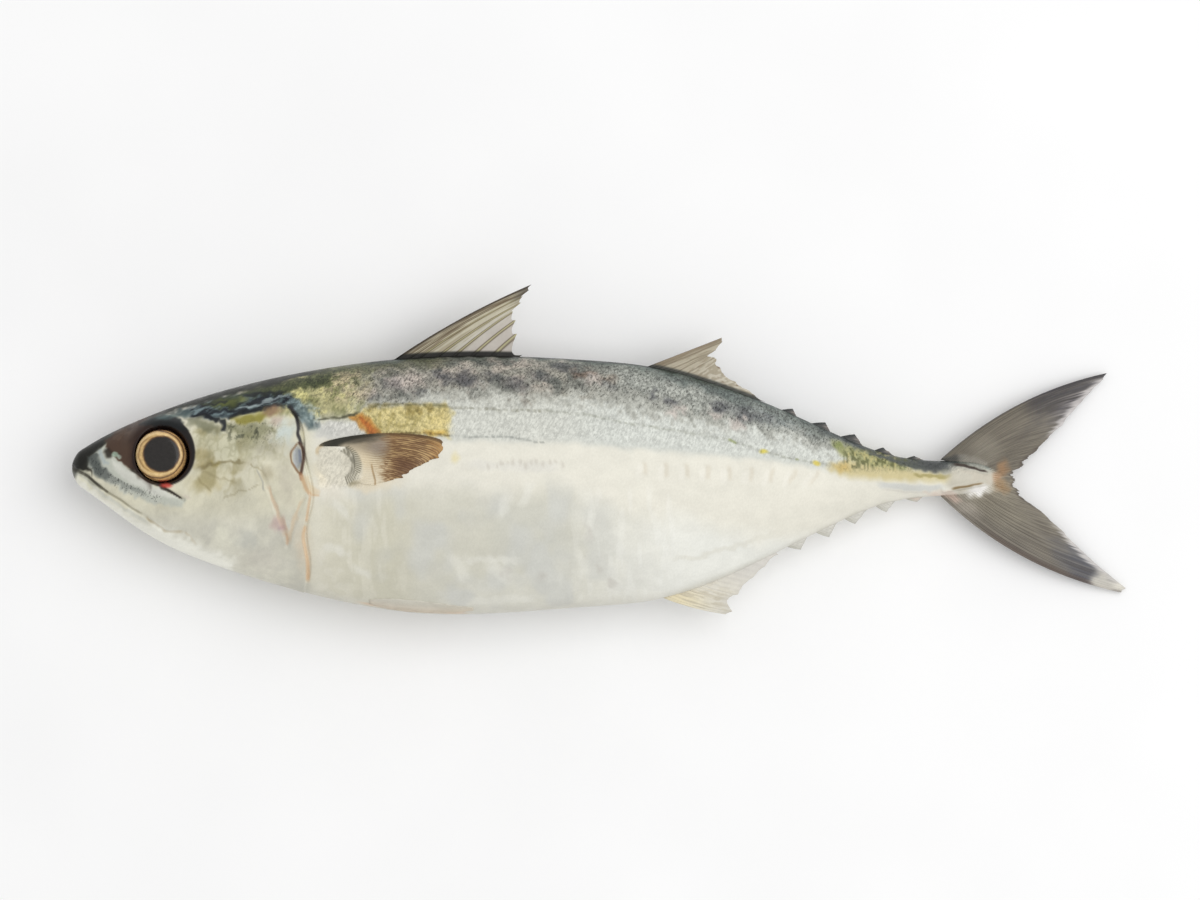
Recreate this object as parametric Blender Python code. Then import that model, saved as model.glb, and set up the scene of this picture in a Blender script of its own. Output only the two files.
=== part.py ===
"""A whole raw mackerel lying on its right side, stiff from the ice, its tail sunk towards the slab.

+X runs from the snout to the tail, +Y from the belly to the back, and +Z up, out of the left side.
The origin is on the slab, under the middle of the fish.
"""

import math

import bmesh
import bpy
import numpy as np

FORK_LENGTH = 0.200  # metres, from the snout to the fork of the tail
UNIT = FORK_LENGTH / 200.0  # the sizes below are 200ths of the fork length, so millimetres here

# Stations along the fish: distance behind the snout, height of the back and of the belly over the
# line from snout to fork, and half the thickness.
STATIONS = [
    (0.0, 3.0, -2.3, 1.7),
    (5.0, 6.1, -5.8, 4.0),
    (15.0, 10.9, -13.0, 7.3),
    (30.0, 16.2, -20.0, 10.9),
    (50.0, 20.9, -26.1, 13.3),
    (75.0, 23.9, -30.4, 13.8),
    (92.0, 24.1, -30.2, 13.2),
    (110.0, 23.2, -28.9, 11.7),
    (124.0, 21.6, -27.4, 10.2),
    (137.0, 17.9, -23.2, 8.5),
    (150.0, 12.9, -17.1, 6.7),
    (162.0, 7.5, -11.2, 5.1),
    (173.0, 3.3, -6.9, 3.9),
    (184.0, 1.9, -5.5, 3.0),
    (191.0, 1.6, -4.9, 1.8),
    (197.0, 0.2, -3.4, 0.5),
]
NOSE_ROUND = 1.8  # length over which the blunt snout closes
WIDEST_SHARE = 0.54  # the widest line, as a share of the depth above the belly
BACK_POWER = 0.95  # under 1 a section is fuller than an ellipse, over 1 sharper
BELLY_POWER = 1.10

# The body is level to where the tail starts to sink towards the slab.
REST_LEVEL = 12.9  # height of the middle plane, so the flank is pressed flat by 0.9
SINK_START = 95.0
TAIL_END = 223.6
TAIL_LEVEL = 0.75
SINK_POWER = 1.6

HEAD_RINGS = 30
TRUNK_RINGS = 34
HEAD_END = 55.0
NOSE_RINGS = 4
RING_POINTS = 32

EYE_CENTRE = (19.2, 3.0)
EYE_RADIUS = 5.7
EYE_DEPTH = 3.5
EYE_PROUD = 0.9  # how far the eye stands out of the cheek
EYE_TILT = math.radians(9.0)  # the cheek narrows towards the snout
SOCKET_GAP = 0.3

# The gill cover's hind edge from the top down, as (height, distance behind the snout).
GILL_EDGE = [(-25.5, 49.2), (-20.0, 50.0), (-13.0, 49.2), (-6.0, 50.6), (4.0, 48.8), (11.4, 47.0), (15.0, 43.0)]
GILL_RISE = 0.7
GILL_RAMP = 14.0
GILL_TOP = 14.0
GILL_SLIT = 0.4
GILL_SLIT_DEPTH = 1.3

# The gape, from the tip of the jaws back to the end of the upper jaw.
MOUTH_LINE = [(-1.0, 1.2), (3.0, -2.3), (7.0, -4.4), (15.0, -9.5), (20.5, -12.9), (24.0, -13.3)]
MOUTH_SLIT = 0.35
MOUTH_DEPTH = 0.8

FIN_SUNK = 1.6  # how deep a fin's root lies in the body
FIN_FILL = 2  # steps of skin between two rays
FIN_STEPS = 6  # steps along a ray

# Each ray: root along the back, then its tip.
SPINY_DORSAL = [
    (68.6, 97.5, 39.4), (71.8, 97.0, 38.2), (73.8, 95.6, 36.9), (77.7, 95.2, 35.5), (81.1, 93.6, 33.8),
    (84.9, 94.2, 31.9), (89.2, 94.4, 29.0), (94.8, 95.4, 24.4),
]
SOFT_DORSAL = [
    (122.0, 137.8, 28.1), (124.2, 137.9, 27.2), (126.2, 136.6, 25.5), (128.0, 135.1, 24.5),
    (129.8, 136.6, 24.1), (132.0, 136.9, 22.9), (134.0, 138.6, 20.7), (137.2, 140.8, 18.8),
    (141.0, 143.7, 16.8), (145.6, 147.0, 14.4),
]
# Root along the belly, then the tip.
ANAL = [
    (125.6, 138.6, -30.6), (128.0, 140.0, -30.0), (130.4, 138.9, -27.7), (132.2, 139.4, -27.2),
    (134.2, 141.2, -26.4), (137.0, 142.6, -24.5), (140.6, 144.8, -22.7), (145.0, 147.1, -20.6),
    (149.2, 149.6, -18.0),
]
# Start and end of the root, then the tip.
BACK_FINLETS = [
    (148.9, 153.6, 152.8, 13.0), (155.2, 160.8, 159.7, 10.1), (161.6, 167.6, 165.9, 7.6),
    (169.0, 174.5, 171.9, 4.8), (175.4, 180.9, 178.5, 3.0),
]
BELLY_FINLETS = [
    (150.4, 155.9, 154.5, -16.9), (156.7, 162.2, 160.5, -14.3), (162.9, 168.6, 166.0, -11.5),
    (169.4, 174.6, 172.6, -9.0), (174.9, 180.4, 179.1, -6.8),
]
FINLET_BOW = 0.6

# The tail's hind margin from the upper tip to the lower tip, with its teeth round the fork.
TAIL_TIPS = [
    (219.6, 20.7), (218.6, 19.2), (214.3, 14.6), (210.0, 9.6), (206.8, 6.6), (204.5, 4.1), (202.2, 1.4),
    (200.3, -0.8), (200.7, -3.6), (201.8, -5.3), (206.0, -9.1), (210.4, -13.3), (214.8, -17.7),
    (220.0, -22.3), (223.6, -25.2), (222.4, -26.0),
]
TAIL_ROOT = (184.0, 2.2, -5.5)  # distance behind the snout, upper and lower corner
TAIL_ROOT_BULGE = 9.0
TAIL_BOWS = (2.7, 3.1)  # how far the upper and the lower front edge bulge

# The fleshy shoulder that the breast fin's rays fan from, and the tips of its rays.
PECTORAL_SHOULDER = (55.6, 1.2)
PECTORAL_RADIUS = 4.4
PECTORAL_FAN = (math.radians(58.0), math.radians(-56.0))
PECTORAL_LEAD = (52.4, 5.0)
PECTORAL_TIPS = [
    (78.9, 5.9), (79.0, 4.2), (78.0, 2.6), (76.0, 1.7), (74.0, 0.9), (72.2, -0.4), (70.3, -1.7),
    (67.6, -2.4), (64.6, -3.2),
]
PECTORAL_BOW = 2.2
PECTORAL_LIFT = 0.7

# The pelvic fins lie folded along the belly: distance behind the snout, and angle round the body.
PELVIC_REACH = (63.0, 85.0)
PELVIC_ANGLES = (math.radians(152.0), math.radians(168.0))
PELVIC_LIFT = 0.5


def curve_through(points):
    """A natural cubic spline through (place, value) points, as a function of arrays of places."""
    places, values = np.array(points, float).T
    gaps = np.diff(places)
    slopes = np.diff(values) / gaps
    inner = len(places) - 2
    matrix = np.eye(inner + 2)
    right = np.zeros(inner + 2)
    for i in range(1, inner + 1):
        matrix[i, i - 1 : i + 2] = gaps[i - 1], 2 * (gaps[i - 1] + gaps[i]), gaps[i]
        right[i] = 6 * (slopes[i] - slopes[i - 1])
    bends = np.linalg.solve(matrix, right)

    def curve(at):
        at = np.clip(at, places[0], places[-1])
        i = np.clip(np.searchsorted(places, at) - 1, 0, inner)
        before = (places[i + 1] - at) / gaps[i]
        after = (at - places[i]) / gaps[i]
        bend = (before**3 - before) * bends[i] + (after**3 - after) * bends[i + 1]
        return before * values[i] + after * values[i + 1] + bend * gaps[i] ** 2 / 6

    return curve


back_height = curve_through([(s[0], s[1]) for s in STATIONS])
belly_height = curve_through([(s[0], s[2]) for s in STATIONS])
half_width = curve_through([(s[0], s[3]) for s in STATIONS])
gill_edge = curve_through(GILL_EDGE)
mouth_line = curve_through(MOUTH_LINE)


def middle_level(x):
    """Height of the middle plane over the slab."""
    share = np.clip((x - SINK_START) / (TAIL_END - SINK_START), 0, 1)
    return REST_LEVEL + (TAIL_LEVEL - REST_LEVEL) * share**SINK_POWER


def section(x):
    """Level of the widest line, reach up to the back and down to the belly, and half the width."""
    nose = np.sqrt(1 - (1 - np.clip(x / NOSE_ROUND, 0, 1)) ** 2)
    back, belly = back_height(x), belly_height(x)
    widest = belly + WIDEST_SHARE * (back - belly)
    return widest, (back - widest) * nose, (widest - belly) * nose, half_width(x) * nose


def gill_rise(x, y):
    """The gill cover stands proud at its hind edge and runs out forwards into the cheek."""
    ahead = gill_edge(y) - x
    ramp = np.clip(1 - ahead / GILL_RAMP, 0, 1) * (ahead > 0)
    return GILL_RISE * ramp**2 * (y < GILL_TOP)


def skin_point(x, angle, lift=0.0):
    """A point of the skin: angle 0 is the back, a quarter turn the left side, a half turn the belly."""
    x, angle = np.broadcast_arrays(np.asarray(x, float), np.asarray(angle, float))
    widest, up, down, half = section(x)
    reach = np.where(np.cos(angle) > 0, up, down)
    power = np.where(np.cos(angle) > 0, BACK_POWER, BELLY_POWER)
    sine = np.sin(angle)
    y = widest + reach * np.cos(angle)
    out = half * np.sign(sine) * np.abs(sine) ** power + gill_rise(x, y) * sine
    normal = np.stack([np.cos(angle) / np.maximum(reach, 0.3), sine / np.maximum(half, 0.3)])
    normal /= np.linalg.norm(normal, axis=0)
    return np.stack([x, y + lift * normal[0], middle_level(x) + out + lift * normal[1]], axis=-1)


def angle_at(x, y):
    """The angle round the left side at which the skin is at height y."""
    widest, up, down, _ = section(x)
    return np.arccos(np.clip((y - widest) / np.where(y > widest, up, down), -1, 1))


def closed_grid(name, upper, lower):
    """A thin closed piece between two grids of points, one over the other."""
    rows, columns = upper.shape[:2]
    mesh = bmesh.new()
    sides = [[[mesh.verts.new(p * UNIT) for p in row] for row in grid] for grid in (upper, lower)]
    for side, turn in zip(sides, (1, -1)):
        for i in range(rows - 1):
            for j in range(columns - 1):
                corners = (side[i][j], side[i + 1][j], side[i + 1][j + 1], side[i][j + 1])
                mesh.faces.new(corners[::turn])
    top, bottom = sides
    border = [(i, 0) for i in range(rows)] + [(rows - 1, j) for j in range(1, columns)]
    border += [(i, columns - 1) for i in range(rows - 2, -1, -1)]
    border += [(0, j) for j in range(columns - 2, 0, -1)]
    for (i, j), (k, m) in zip(border, border[1:] + border[:1]):
        mesh.faces.new((top[i][j], bottom[i][j], bottom[k][m], top[k][m]))
    return mesh_object(name, mesh)


def mesh_object(name, mesh):
    bmesh.ops.recalc_face_normals(mesh, faces=mesh.faces)
    data = bpy.data.meshes.new(name)
    mesh.to_mesh(data)
    mesh.free()
    made = bpy.data.objects.new(name, data)
    bpy.context.scene.collection.objects.link(made)
    return made


def even_hump(reach):
    """A hump of height 1 at the middle of a ray."""
    return 4 * reach * (1 - reach)


def broad_hump(reach):
    """A hump of height 1 that stays high along most of a ray."""
    return np.sqrt(np.abs(np.sin(math.pi * reach)))


def fin_grid(rays, scallop=0.0, fill=FIN_FILL, steps=FIN_STEPS, hump=even_hump):
    """Points of a fin, ray by ray from root to tip. Between two tips the edge is drawn in by scallop
    times their distance."""
    lines = []
    for (root, tip, bow), (next_root, next_tip, next_bow) in zip(rays, rays[1:]):
        for step in range(fill):
            share = step / fill
            start = np.array(root) * (1 - share) + np.array(next_root) * share
            end = np.array(tip) * (1 - share) + np.array(next_tip) * share
            along = end - start
            drawn_in = scallop * np.linalg.norm(np.array(next_tip) - np.array(tip)) * even_hump(share)
            end = end - along / np.linalg.norm(along) * drawn_in
            lines.append((start, end, bow * (1 - share) + next_bow * share, step == 0))
    lines.append((np.array(rays[-1][0]), np.array(rays[-1][1]), rays[-1][2], True))
    reach = np.linspace(0, 1, steps + 1)[:, None]
    grid, ridge = [], []
    for start, end, bow, on_ray in lines:
        along = end - start
        across = np.array([-along[1], along[0]]) / np.linalg.norm(along)
        grid.append(start + along * reach + across * bow * hump(reach))
        ridge.append(1.0 if on_ray else 0.6)
    return np.array(grid), np.array(ridge)


def upright_fin(name, rays, thickness, scallop=0.0, fill=FIN_FILL, steps=FIN_STEPS):
    """A fin in the middle plane, thick at the root, thin at the edge, and ridged along its rays."""
    grid, ridge = fin_grid(rays, scallop, fill, steps)
    reach = np.linspace(0, 1, steps + 1)
    half = 0.5 * (thickness[0] + (thickness[1] - thickness[0]) * reach)[None, :] * ridge[:, None]
    level = middle_level(grid[..., 0])
    upper = np.dstack([grid, level + half])
    lower = np.dstack([grid, level - half])
    return closed_grid(name, upper, lower)


def sunk(root, tip):
    """The root moved back along its ray, into the body."""
    root, tip = np.array(root, float), np.array(tip, float)
    return tuple(root - (tip - root) / np.linalg.norm(tip - root) * FIN_SUNK)


def edge_rays(table, height, bow):
    """Rays rooted on the back or the belly. The front ray bulges most."""
    rays = []
    for i, (root_x, tip_x, tip_y) in enumerate(table):
        root = (root_x, float(height(root_x)))
        rays.append((sunk(root, (tip_x, tip_y)), (tip_x, tip_y), bow * (1 - i / (len(table) - 1))))
    return rays


def finlet_rays(start, end, tip, height):
    """Three rays of a small three-sided fin, from its front edge to its hind corner."""
    corner = (end, float(height(end)))
    rays = []
    for share in (0.0, 0.5, 1.0):
        root_x = start + (end - start) * share
        point = tuple(np.array(tip) * (1 - share) + np.array(corner) * share)
        outward = 1.0 if height is back_height else -1.0
        root = (root_x, float(height(root_x)) - outward)
        rays.append((root, point, outward * FINLET_BOW * (1 - share)))
    return rays


def tail_rays():
    """The tail's rays fan from the end of the backbone to the hind margin."""
    root_x, upper, lower = TAIL_ROOT
    rays = []
    for i, tip in enumerate(TAIL_TIPS):
        share = i / (len(TAIL_TIPS) - 1)
        root = (root_x + TAIL_ROOT_BULGE * math.sin(math.pi * share), upper + (lower - upper) * share)
        bow = TAIL_BOWS[0] * max(0.0, 1 - 2.4 * share) - TAIL_BOWS[1] * max(0.0, 2.4 * share - 1.4)
        rays.append((root, tip, bow))
    return rays


def pectoral_fin(name, side):
    """The breast fin, folded back flat against the flank."""
    rays = [(PECTORAL_LEAD, PECTORAL_TIPS[0], PECTORAL_BOW)]
    first, last = PECTORAL_FAN
    for i, tip in enumerate(PECTORAL_TIPS[1:]):
        share = i / (len(PECTORAL_TIPS) - 2)
        turn = first + (last - first) * share
        root = np.array(PECTORAL_SHOULDER) + PECTORAL_RADIUS * np.array([math.cos(turn), math.sin(turn)])
        rays.append((tuple(root), tip, PECTORAL_BOW * (1 - share)))
    grid, ridge = fin_grid(rays, 0.15, hump=broad_hump)
    return flank_piece(name, grid, PECTORAL_LIFT * ridge[:, None], side)


def pelvic_fin(name, side):
    """A pelvic fin, a slim blade folded along the belly."""
    rows, columns = 10, 4
    reach = np.linspace(0, 1, rows)
    x = (PELVIC_REACH[0] + (PELVIC_REACH[1] - PELVIC_REACH[0]) * reach)[:, None]
    spread = (0.25 + 0.75 * np.sin(math.pi * reach**0.7))[:, None] * np.linspace(-0.5, 0.5, columns)
    angle = 0.5 * sum(PELVIC_ANGLES) + (PELVIC_ANGLES[1] - PELVIC_ANGLES[0]) * spread
    x = x + 0 * angle
    return closed_grid(name, *lifted(x, angle, PELVIC_LIFT, side))


def flank_piece(name, grid, lift, side):
    x, y = grid[..., 0], grid[..., 1]
    return closed_grid(name, *lifted(x, angle_at(x, y), lift, side))


def lifted(x, angle, lift, side):
    """Two grids of points, one over the skin by lift and one well under it."""
    outer = skin_point(x, side * angle, lift)
    inner = skin_point(x, side * angle, -1.2)
    return outer, inner


def body():
    """The body, lofted through its cross sections from the snout to the root of the tail."""
    nose = NOSE_ROUND * (1 - np.cos(np.linspace(0.12, 1, NOSE_RINGS, endpoint=False) * math.pi / 2))
    head = np.linspace(NOSE_ROUND, HEAD_END, HEAD_RINGS, endpoint=False)
    trunk = np.linspace(HEAD_END, STATIONS[-1][0], TRUNK_RINGS)
    angles = np.linspace(0, 2 * math.pi, RING_POINTS, endpoint=False)
    mesh = bmesh.new()
    rings = [
        [mesh.verts.new(p * UNIT) for p in skin_point(x, angles)]
        for x in np.concatenate([nose, head, trunk])
    ]
    for ring, following in zip(rings, rings[1:]):
        for i in range(RING_POINTS):
            j = (i + 1) % RING_POINTS
            mesh.faces.new((ring[i], ring[j], following[j], following[i]))
    for ring in (rings[0], rings[-1]):
        mesh.faces.new(ring)
    return mesh_object("fish", mesh)


def fins():
    """Every fin, each a closed piece that reaches into the body."""
    made = [
        upright_fin("tail_fin", tail_rays(), (1.6, 0.7), 0.08),
        upright_fin("spiny_dorsal_fin", edge_rays(SPINY_DORSAL, back_height, 0.9), (1.5, 0.7), 0.42),
        upright_fin("soft_dorsal_fin", edge_rays(SOFT_DORSAL, back_height, 0.0), (1.5, 0.7), 0.08),
        upright_fin("anal_fin", edge_rays(ANAL, belly_height, -0.5), (1.5, 0.7), 0.08),
    ]
    for table, height, place in (
        (BACK_FINLETS, back_height, "back"),
        (BELLY_FINLETS, belly_height, "belly"),
    ):
        for i, (start, end, tip_x, tip_y) in enumerate(table):
            rays = finlet_rays(start, end, (tip_x, tip_y), height)
            name = f"{place}_finlet_{i + 1}"
            made.append(upright_fin(name, rays, (1.4, 0.7), fill=1, steps=3))
    for side, word in ((1, "left"), (-1, "right")):
        made.append(pectoral_fin(f"pectoral_fin_{word}", side))
        made.append(pelvic_fin(f"pelvic_fin_{word}", side))
    return made


def eye_shape(name, side, grow):
    """A flattened ball in the cheek, turned with it. Grown by the gap it is the socket's cutter."""
    bpy.ops.mesh.primitive_uv_sphere_add(segments=24, ring_count=12, radius=UNIT)
    ball = bpy.context.object
    ball.name = name
    x, y = EYE_CENTRE
    surface = skin_point(x, angle_at(np.array(x), np.array(y)) * side)
    inward = side * (EYE_DEPTH - EYE_PROUD)
    ball.scale = (EYE_RADIUS + grow, EYE_RADIUS + grow, EYE_DEPTH + grow)
    ball.rotation_euler = (0.0, -side * EYE_TILT, 0.0)
    ball.location = (x * UNIT, y * UNIT, (surface[2] - inward) * UNIT)
    bpy.context.view_layer.update()
    ball.data.transform(ball.matrix_world)
    ball.matrix_world.identity()
    ball.data.shade_smooth()
    return ball


def slit_cutter(name, places, heights, width_along_x, width, depth, side):
    """A thin blade that follows a line on the flank and cuts a groove of the given depth."""
    half = 0.5 * width
    shift = np.array([half, 0.0]) if width_along_x else np.array([0.0, half])
    line = np.stack([places, heights], axis=-1)
    outer, inner = [], []
    for offset in (-shift, shift):
        x, y = (line + offset).T
        angle = side * angle_at(x, y)
        outer.append(skin_point(x, angle, 2.0))
        inner.append(skin_point(x, angle, -depth))
    return closed_grid(name, np.array(outer), np.array(inner))


def cutters():
    """Eye sockets, gill slits, the gape of the mouth, and the slab that presses the flank flat."""
    gill_heights = np.linspace(-22.0, 12.5, 19)
    gape = np.linspace(0.8, 23.5, 14)
    made = []
    for side, word in ((1, "left"), (-1, "right")):
        made.append(eye_shape(f"socket_{word}", side, SOCKET_GAP))
        slit = (gill_edge(gill_heights) + 0.5 * GILL_SLIT, gill_heights)
        made.append(slit_cutter(f"gill_slit_{word}", *slit, True, GILL_SLIT, GILL_SLIT_DEPTH, side))
        gap = (gape, mouth_line(gape))
        made.append(slit_cutter(f"gape_{word}", *gap, False, MOUTH_SLIT, MOUTH_DEPTH, side))
    bpy.ops.mesh.primitive_cube_add(size=1.0)
    slab = bpy.context.object
    slab.name = "slab"
    slab.scale = np.array([260.0, 100.0, 10.0]) * UNIT
    slab.location = np.array([110.0, 0.0, -5.0]) * UNIT
    bpy.ops.object.transform_apply(location=True, rotation=True, scale=True)
    return made + [slab]


def collect(name, objects):
    """Moves the objects into a collection of their own."""
    group = bpy.data.collections.new(name)
    bpy.context.scene.collection.children.link(group)
    for item in objects:
        for old in item.users_collection:
            old.objects.unlink(item)
        group.objects.link(item)
    return group


def combine(target, objects, operation):
    """Joins the objects to the target, or cuts them from it, and removes them."""
    group = collect(operation.lower(), objects)
    boolean = target.modifiers.new(operation.lower(), "BOOLEAN")
    boolean.operation = operation
    boolean.operand_type = "COLLECTION"
    boolean.collection = group
    bpy.context.view_layer.objects.active = target
    bpy.ops.object.modifier_apply(modifier=boolean.name)
    for item in objects:
        bpy.data.objects.remove(item)
    bpy.data.collections.remove(group)


def material(name, colour, roughness, metallic):
    made = bpy.data.materials.new(name)
    made.use_nodes = True
    shader = made.node_tree.nodes["Principled BSDF"]
    shader.inputs["Base Color"].default_value = (*colour, 1.0)
    shader.inputs["Roughness"].default_value = roughness
    shader.inputs["Metallic"].default_value = metallic
    return made


def centre_over_origin(objects):
    """Moves the fish along the slab so that the middle of its outline is over the origin."""
    corners = np.array([v.co for item in objects for v in item.data.vertices])
    shift = -0.5 * (corners.min(axis=0) + corners.max(axis=0))
    shift[2] = 0.0
    for item in objects:
        for vertex in item.data.vertices:
            vertex.co += type(vertex.co)(shift)


def main():
    for item in list(bpy.data.objects):
        bpy.data.objects.remove(item)
    fish = body()
    combine(fish, fins(), "UNION")
    combine(fish, cutters(), "DIFFERENCE")
    fish.data.shade_smooth()
    fish.data.set_sharp_from_angle(angle=math.radians(40.0))
    eyes = [eye_shape(f"eye_{word}", side, 0.0) for side, word in ((1, "left"), (-1, "right"))]
    fish.data.materials.append(material("silver_skin", (0.62, 0.62, 0.54), 0.35, 0.2))
    for eye in eyes:
        eye.data.materials.append(material("eye_gold", (0.50, 0.33, 0.12), 0.15, 0.0))
    centre_over_origin([fish, *eyes])
    collect("whole_raw_fish", [fish, *eyes])


main()
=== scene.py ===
"""The looks of a whole raw mackerel that lies on its right side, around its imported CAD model.

The skin, the fins and the eyes are fine meshes on the CAD model's own sections. Their colours are
painted point by point, in places given as pixels of the 1200 x 900 photograph, and the materials add
what is finer: speckles, scales and the wet sheen.
"""

import math

import bmesh
import bpy
import numpy as np
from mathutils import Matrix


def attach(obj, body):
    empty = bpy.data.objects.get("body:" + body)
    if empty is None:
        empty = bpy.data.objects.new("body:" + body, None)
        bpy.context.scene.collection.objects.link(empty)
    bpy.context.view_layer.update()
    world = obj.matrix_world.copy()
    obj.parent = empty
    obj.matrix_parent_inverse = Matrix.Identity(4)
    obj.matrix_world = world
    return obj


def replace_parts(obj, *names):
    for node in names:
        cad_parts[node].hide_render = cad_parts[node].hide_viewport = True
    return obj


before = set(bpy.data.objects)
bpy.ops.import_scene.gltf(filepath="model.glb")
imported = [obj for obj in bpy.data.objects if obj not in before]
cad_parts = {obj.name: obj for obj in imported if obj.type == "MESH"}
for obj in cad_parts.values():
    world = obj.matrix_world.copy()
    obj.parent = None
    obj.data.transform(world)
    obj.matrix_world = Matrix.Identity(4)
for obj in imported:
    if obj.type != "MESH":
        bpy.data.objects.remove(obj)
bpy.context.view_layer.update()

# Millimetres. Distances run behind the snout and heights over the line from the snout to the fork.
PX = 0.2118  # one pixel of the photograph
SNOUT_PX = (72.0, 470.0)
CENTRE = (111.816, 4.4)  # the point of the fish that lies over the origin

# The sections below are the CAD model's: distance, back, belly, half the thickness.
STATIONS = [
    (0.0, 3.0, -2.3, 1.7),
    (5.0, 6.1, -5.8, 4.0),
    (15.0, 10.9, -13.0, 7.3),
    (30.0, 16.2, -20.0, 10.9),
    (50.0, 20.9, -26.1, 13.3),
    (75.0, 23.9, -30.4, 13.8),
    (92.0, 24.1, -30.2, 13.2),
    (110.0, 23.2, -28.9, 11.7),
    (124.0, 21.6, -27.4, 10.2),
    (137.0, 17.9, -23.2, 8.5),
    (150.0, 12.9, -17.1, 6.7),
    (162.0, 7.5, -11.2, 5.1),
    (173.0, 3.3, -6.9, 3.9),
    (184.0, 1.9, -5.5, 3.0),
    (191.0, 1.6, -4.9, 1.8),
    (197.0, 0.2, -3.4, 0.5),
]
NOSE_ROUND = 1.8
WIDEST_SHARE = 0.54
BACK_POWER = 0.95
BELLY_POWER = 1.10
REST_LEVEL = 12.9
SINK_START = 95.0
TAIL_END = 223.6
TAIL_LEVEL = 0.75
SINK_POWER = 1.6
# The rear edge of the gill cover: height, distance.
GILL_EDGE = [
    (-25.5, 49.2), (-20.0, 50.0), (-13.0, 49.2), (-6.0, 50.6), (4.0, 48.8), (11.4, 47.0), (15.0, 43.0)
]
EYE_CENTRE = (19.2, 3.0)
EYE_RADIUS = 5.7
EYE_DEPTH = 3.5
EYE_PROUD = 0.9
EYE_TILT = math.radians(9.0)

LATTICE = 97  # how many lumps the painted noise has each way before it repeats


def curve_through(points):
    """A natural cubic spline through (place, value) points, as a function of arrays of places."""
    places, values = np.array(points, float).T
    gaps = np.diff(places)
    slopes = np.diff(values) / gaps
    inner = len(places) - 2
    matrix = np.eye(inner + 2)
    right = np.zeros(inner + 2)
    for i in range(1, inner + 1):
        matrix[i, i - 1 : i + 2] = gaps[i - 1], 2 * (gaps[i - 1] + gaps[i]), gaps[i]
        right[i] = 6 * (slopes[i] - slopes[i - 1])
    bends = np.linalg.solve(matrix, right)

    def curve(at):
        at = np.clip(at, places[0], places[-1])
        i = np.clip(np.searchsorted(places, at) - 1, 0, inner)
        before = (places[i + 1] - at) / gaps[i]
        after = (at - places[i]) / gaps[i]
        bend = (before**3 - before) * bends[i] + (after**3 - after) * bends[i + 1]
        return before * values[i] + after * values[i + 1] + bend * gaps[i] ** 2 / 6

    return curve


back_height = curve_through([(s[0], s[1]) for s in STATIONS])
belly_height = curve_through([(s[0], s[2]) for s in STATIONS])
half_width = curve_through([(s[0], s[3]) for s in STATIONS])
gill_edge = curve_through(GILL_EDGE)


def step(value, low, high):
    """0 below low, 1 above high, and smooth between. Low may be the larger one."""
    t = np.clip((value - low) / (high - low), 0, 1)
    return t * t * (3 - 2 * t)


def middle_level(x):
    share = np.clip((x - SINK_START) / (TAIL_END - SINK_START), 0, 1)
    return REST_LEVEL + (TAIL_LEVEL - REST_LEVEL) * share**SINK_POWER


def section(x):
    nose = np.sqrt(1 - (1 - np.clip(x / NOSE_ROUND, 0, 1)) ** 2)
    back, belly = back_height(x), belly_height(x)
    widest = belly + WIDEST_SHARE * (back - belly)
    return widest, (back - widest) * nose, (widest - belly) * nose, half_width(x) * nose


def skin_point(x, angle, lift=0.0):
    """Points of the skin, lifted off it. Angle 0 is the back and a quarter turn the left side."""
    x, angle, lift = np.broadcast_arrays(np.asarray(x, float), angle, lift)
    widest, up, down, half = section(x)
    reach = np.where(np.cos(angle) > 0, up, down)
    power = np.where(np.cos(angle) > 0, BACK_POWER, BELLY_POWER)
    sine = np.sin(angle)
    y = widest + reach * np.cos(angle)
    out = half * np.sign(sine) * np.abs(sine) ** power
    normal = np.stack([np.cos(angle) / np.maximum(reach, 0.3), sine / np.maximum(half, 0.3)])
    normal /= np.linalg.norm(normal, axis=0)
    return np.stack([x, y + lift * normal[0], middle_level(x) + out + lift * normal[1]], axis=-1)


def angle_at(x, y):
    widest, up, down, _ = section(x)
    return np.arccos(np.clip((y - widest) / np.where(y > widest, up, down), -1, 1))


def to_px(x, y):
    return SNOUT_PX[0] + x / PX, SNOUT_PX[1] - y / PX


def to_mm(place):
    return (place[0] - SNOUT_PX[0]) * PX, (SNOUT_PX[1] - place[1]) * PX


def cloud(u, v, size, seed):
    """Smooth noise from 0 to 1 with lumps of the given size."""
    table = np.random.default_rng(seed).random((LATTICE, LATTICE))
    s, t = u / size, v / size
    i, j = np.floor(s).astype(int), np.floor(t).astype(int)
    f, g = s - i, t - j
    f, g = f * f * (3 - 2 * f), g * g * (3 - 2 * g)
    i, j, k, m = i % LATTICE, j % LATTICE, (i + 1) % LATTICE, (j + 1) % LATTICE
    near = table[i, j] * (1 - f) + table[k, j] * f
    far = table[i, m] * (1 - f) + table[k, m] * f
    return near * (1 - g) + far * g


def clouds(u, v, size, seed, layers=3):
    total = sum(0.5**i * cloud(u, v, size * 0.5**i, seed + i) for i in range(layers))
    return total / sum(0.5**i for i in range(layers))


def to_segment(u, v, a, b):
    """Distance to the segment from a to b, and how far along it, from 0 to 1."""
    share = ((u - a[0]) * (b[0] - a[0]) + (v - a[1]) * (b[1] - a[1])) / np.sum((b - a) ** 2)
    share = np.clip(share, 0, 1)
    return np.hypot(u - a[0] - share * (b[0] - a[0]), v - a[1] - share * (b[1] - a[1])), share


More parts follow.
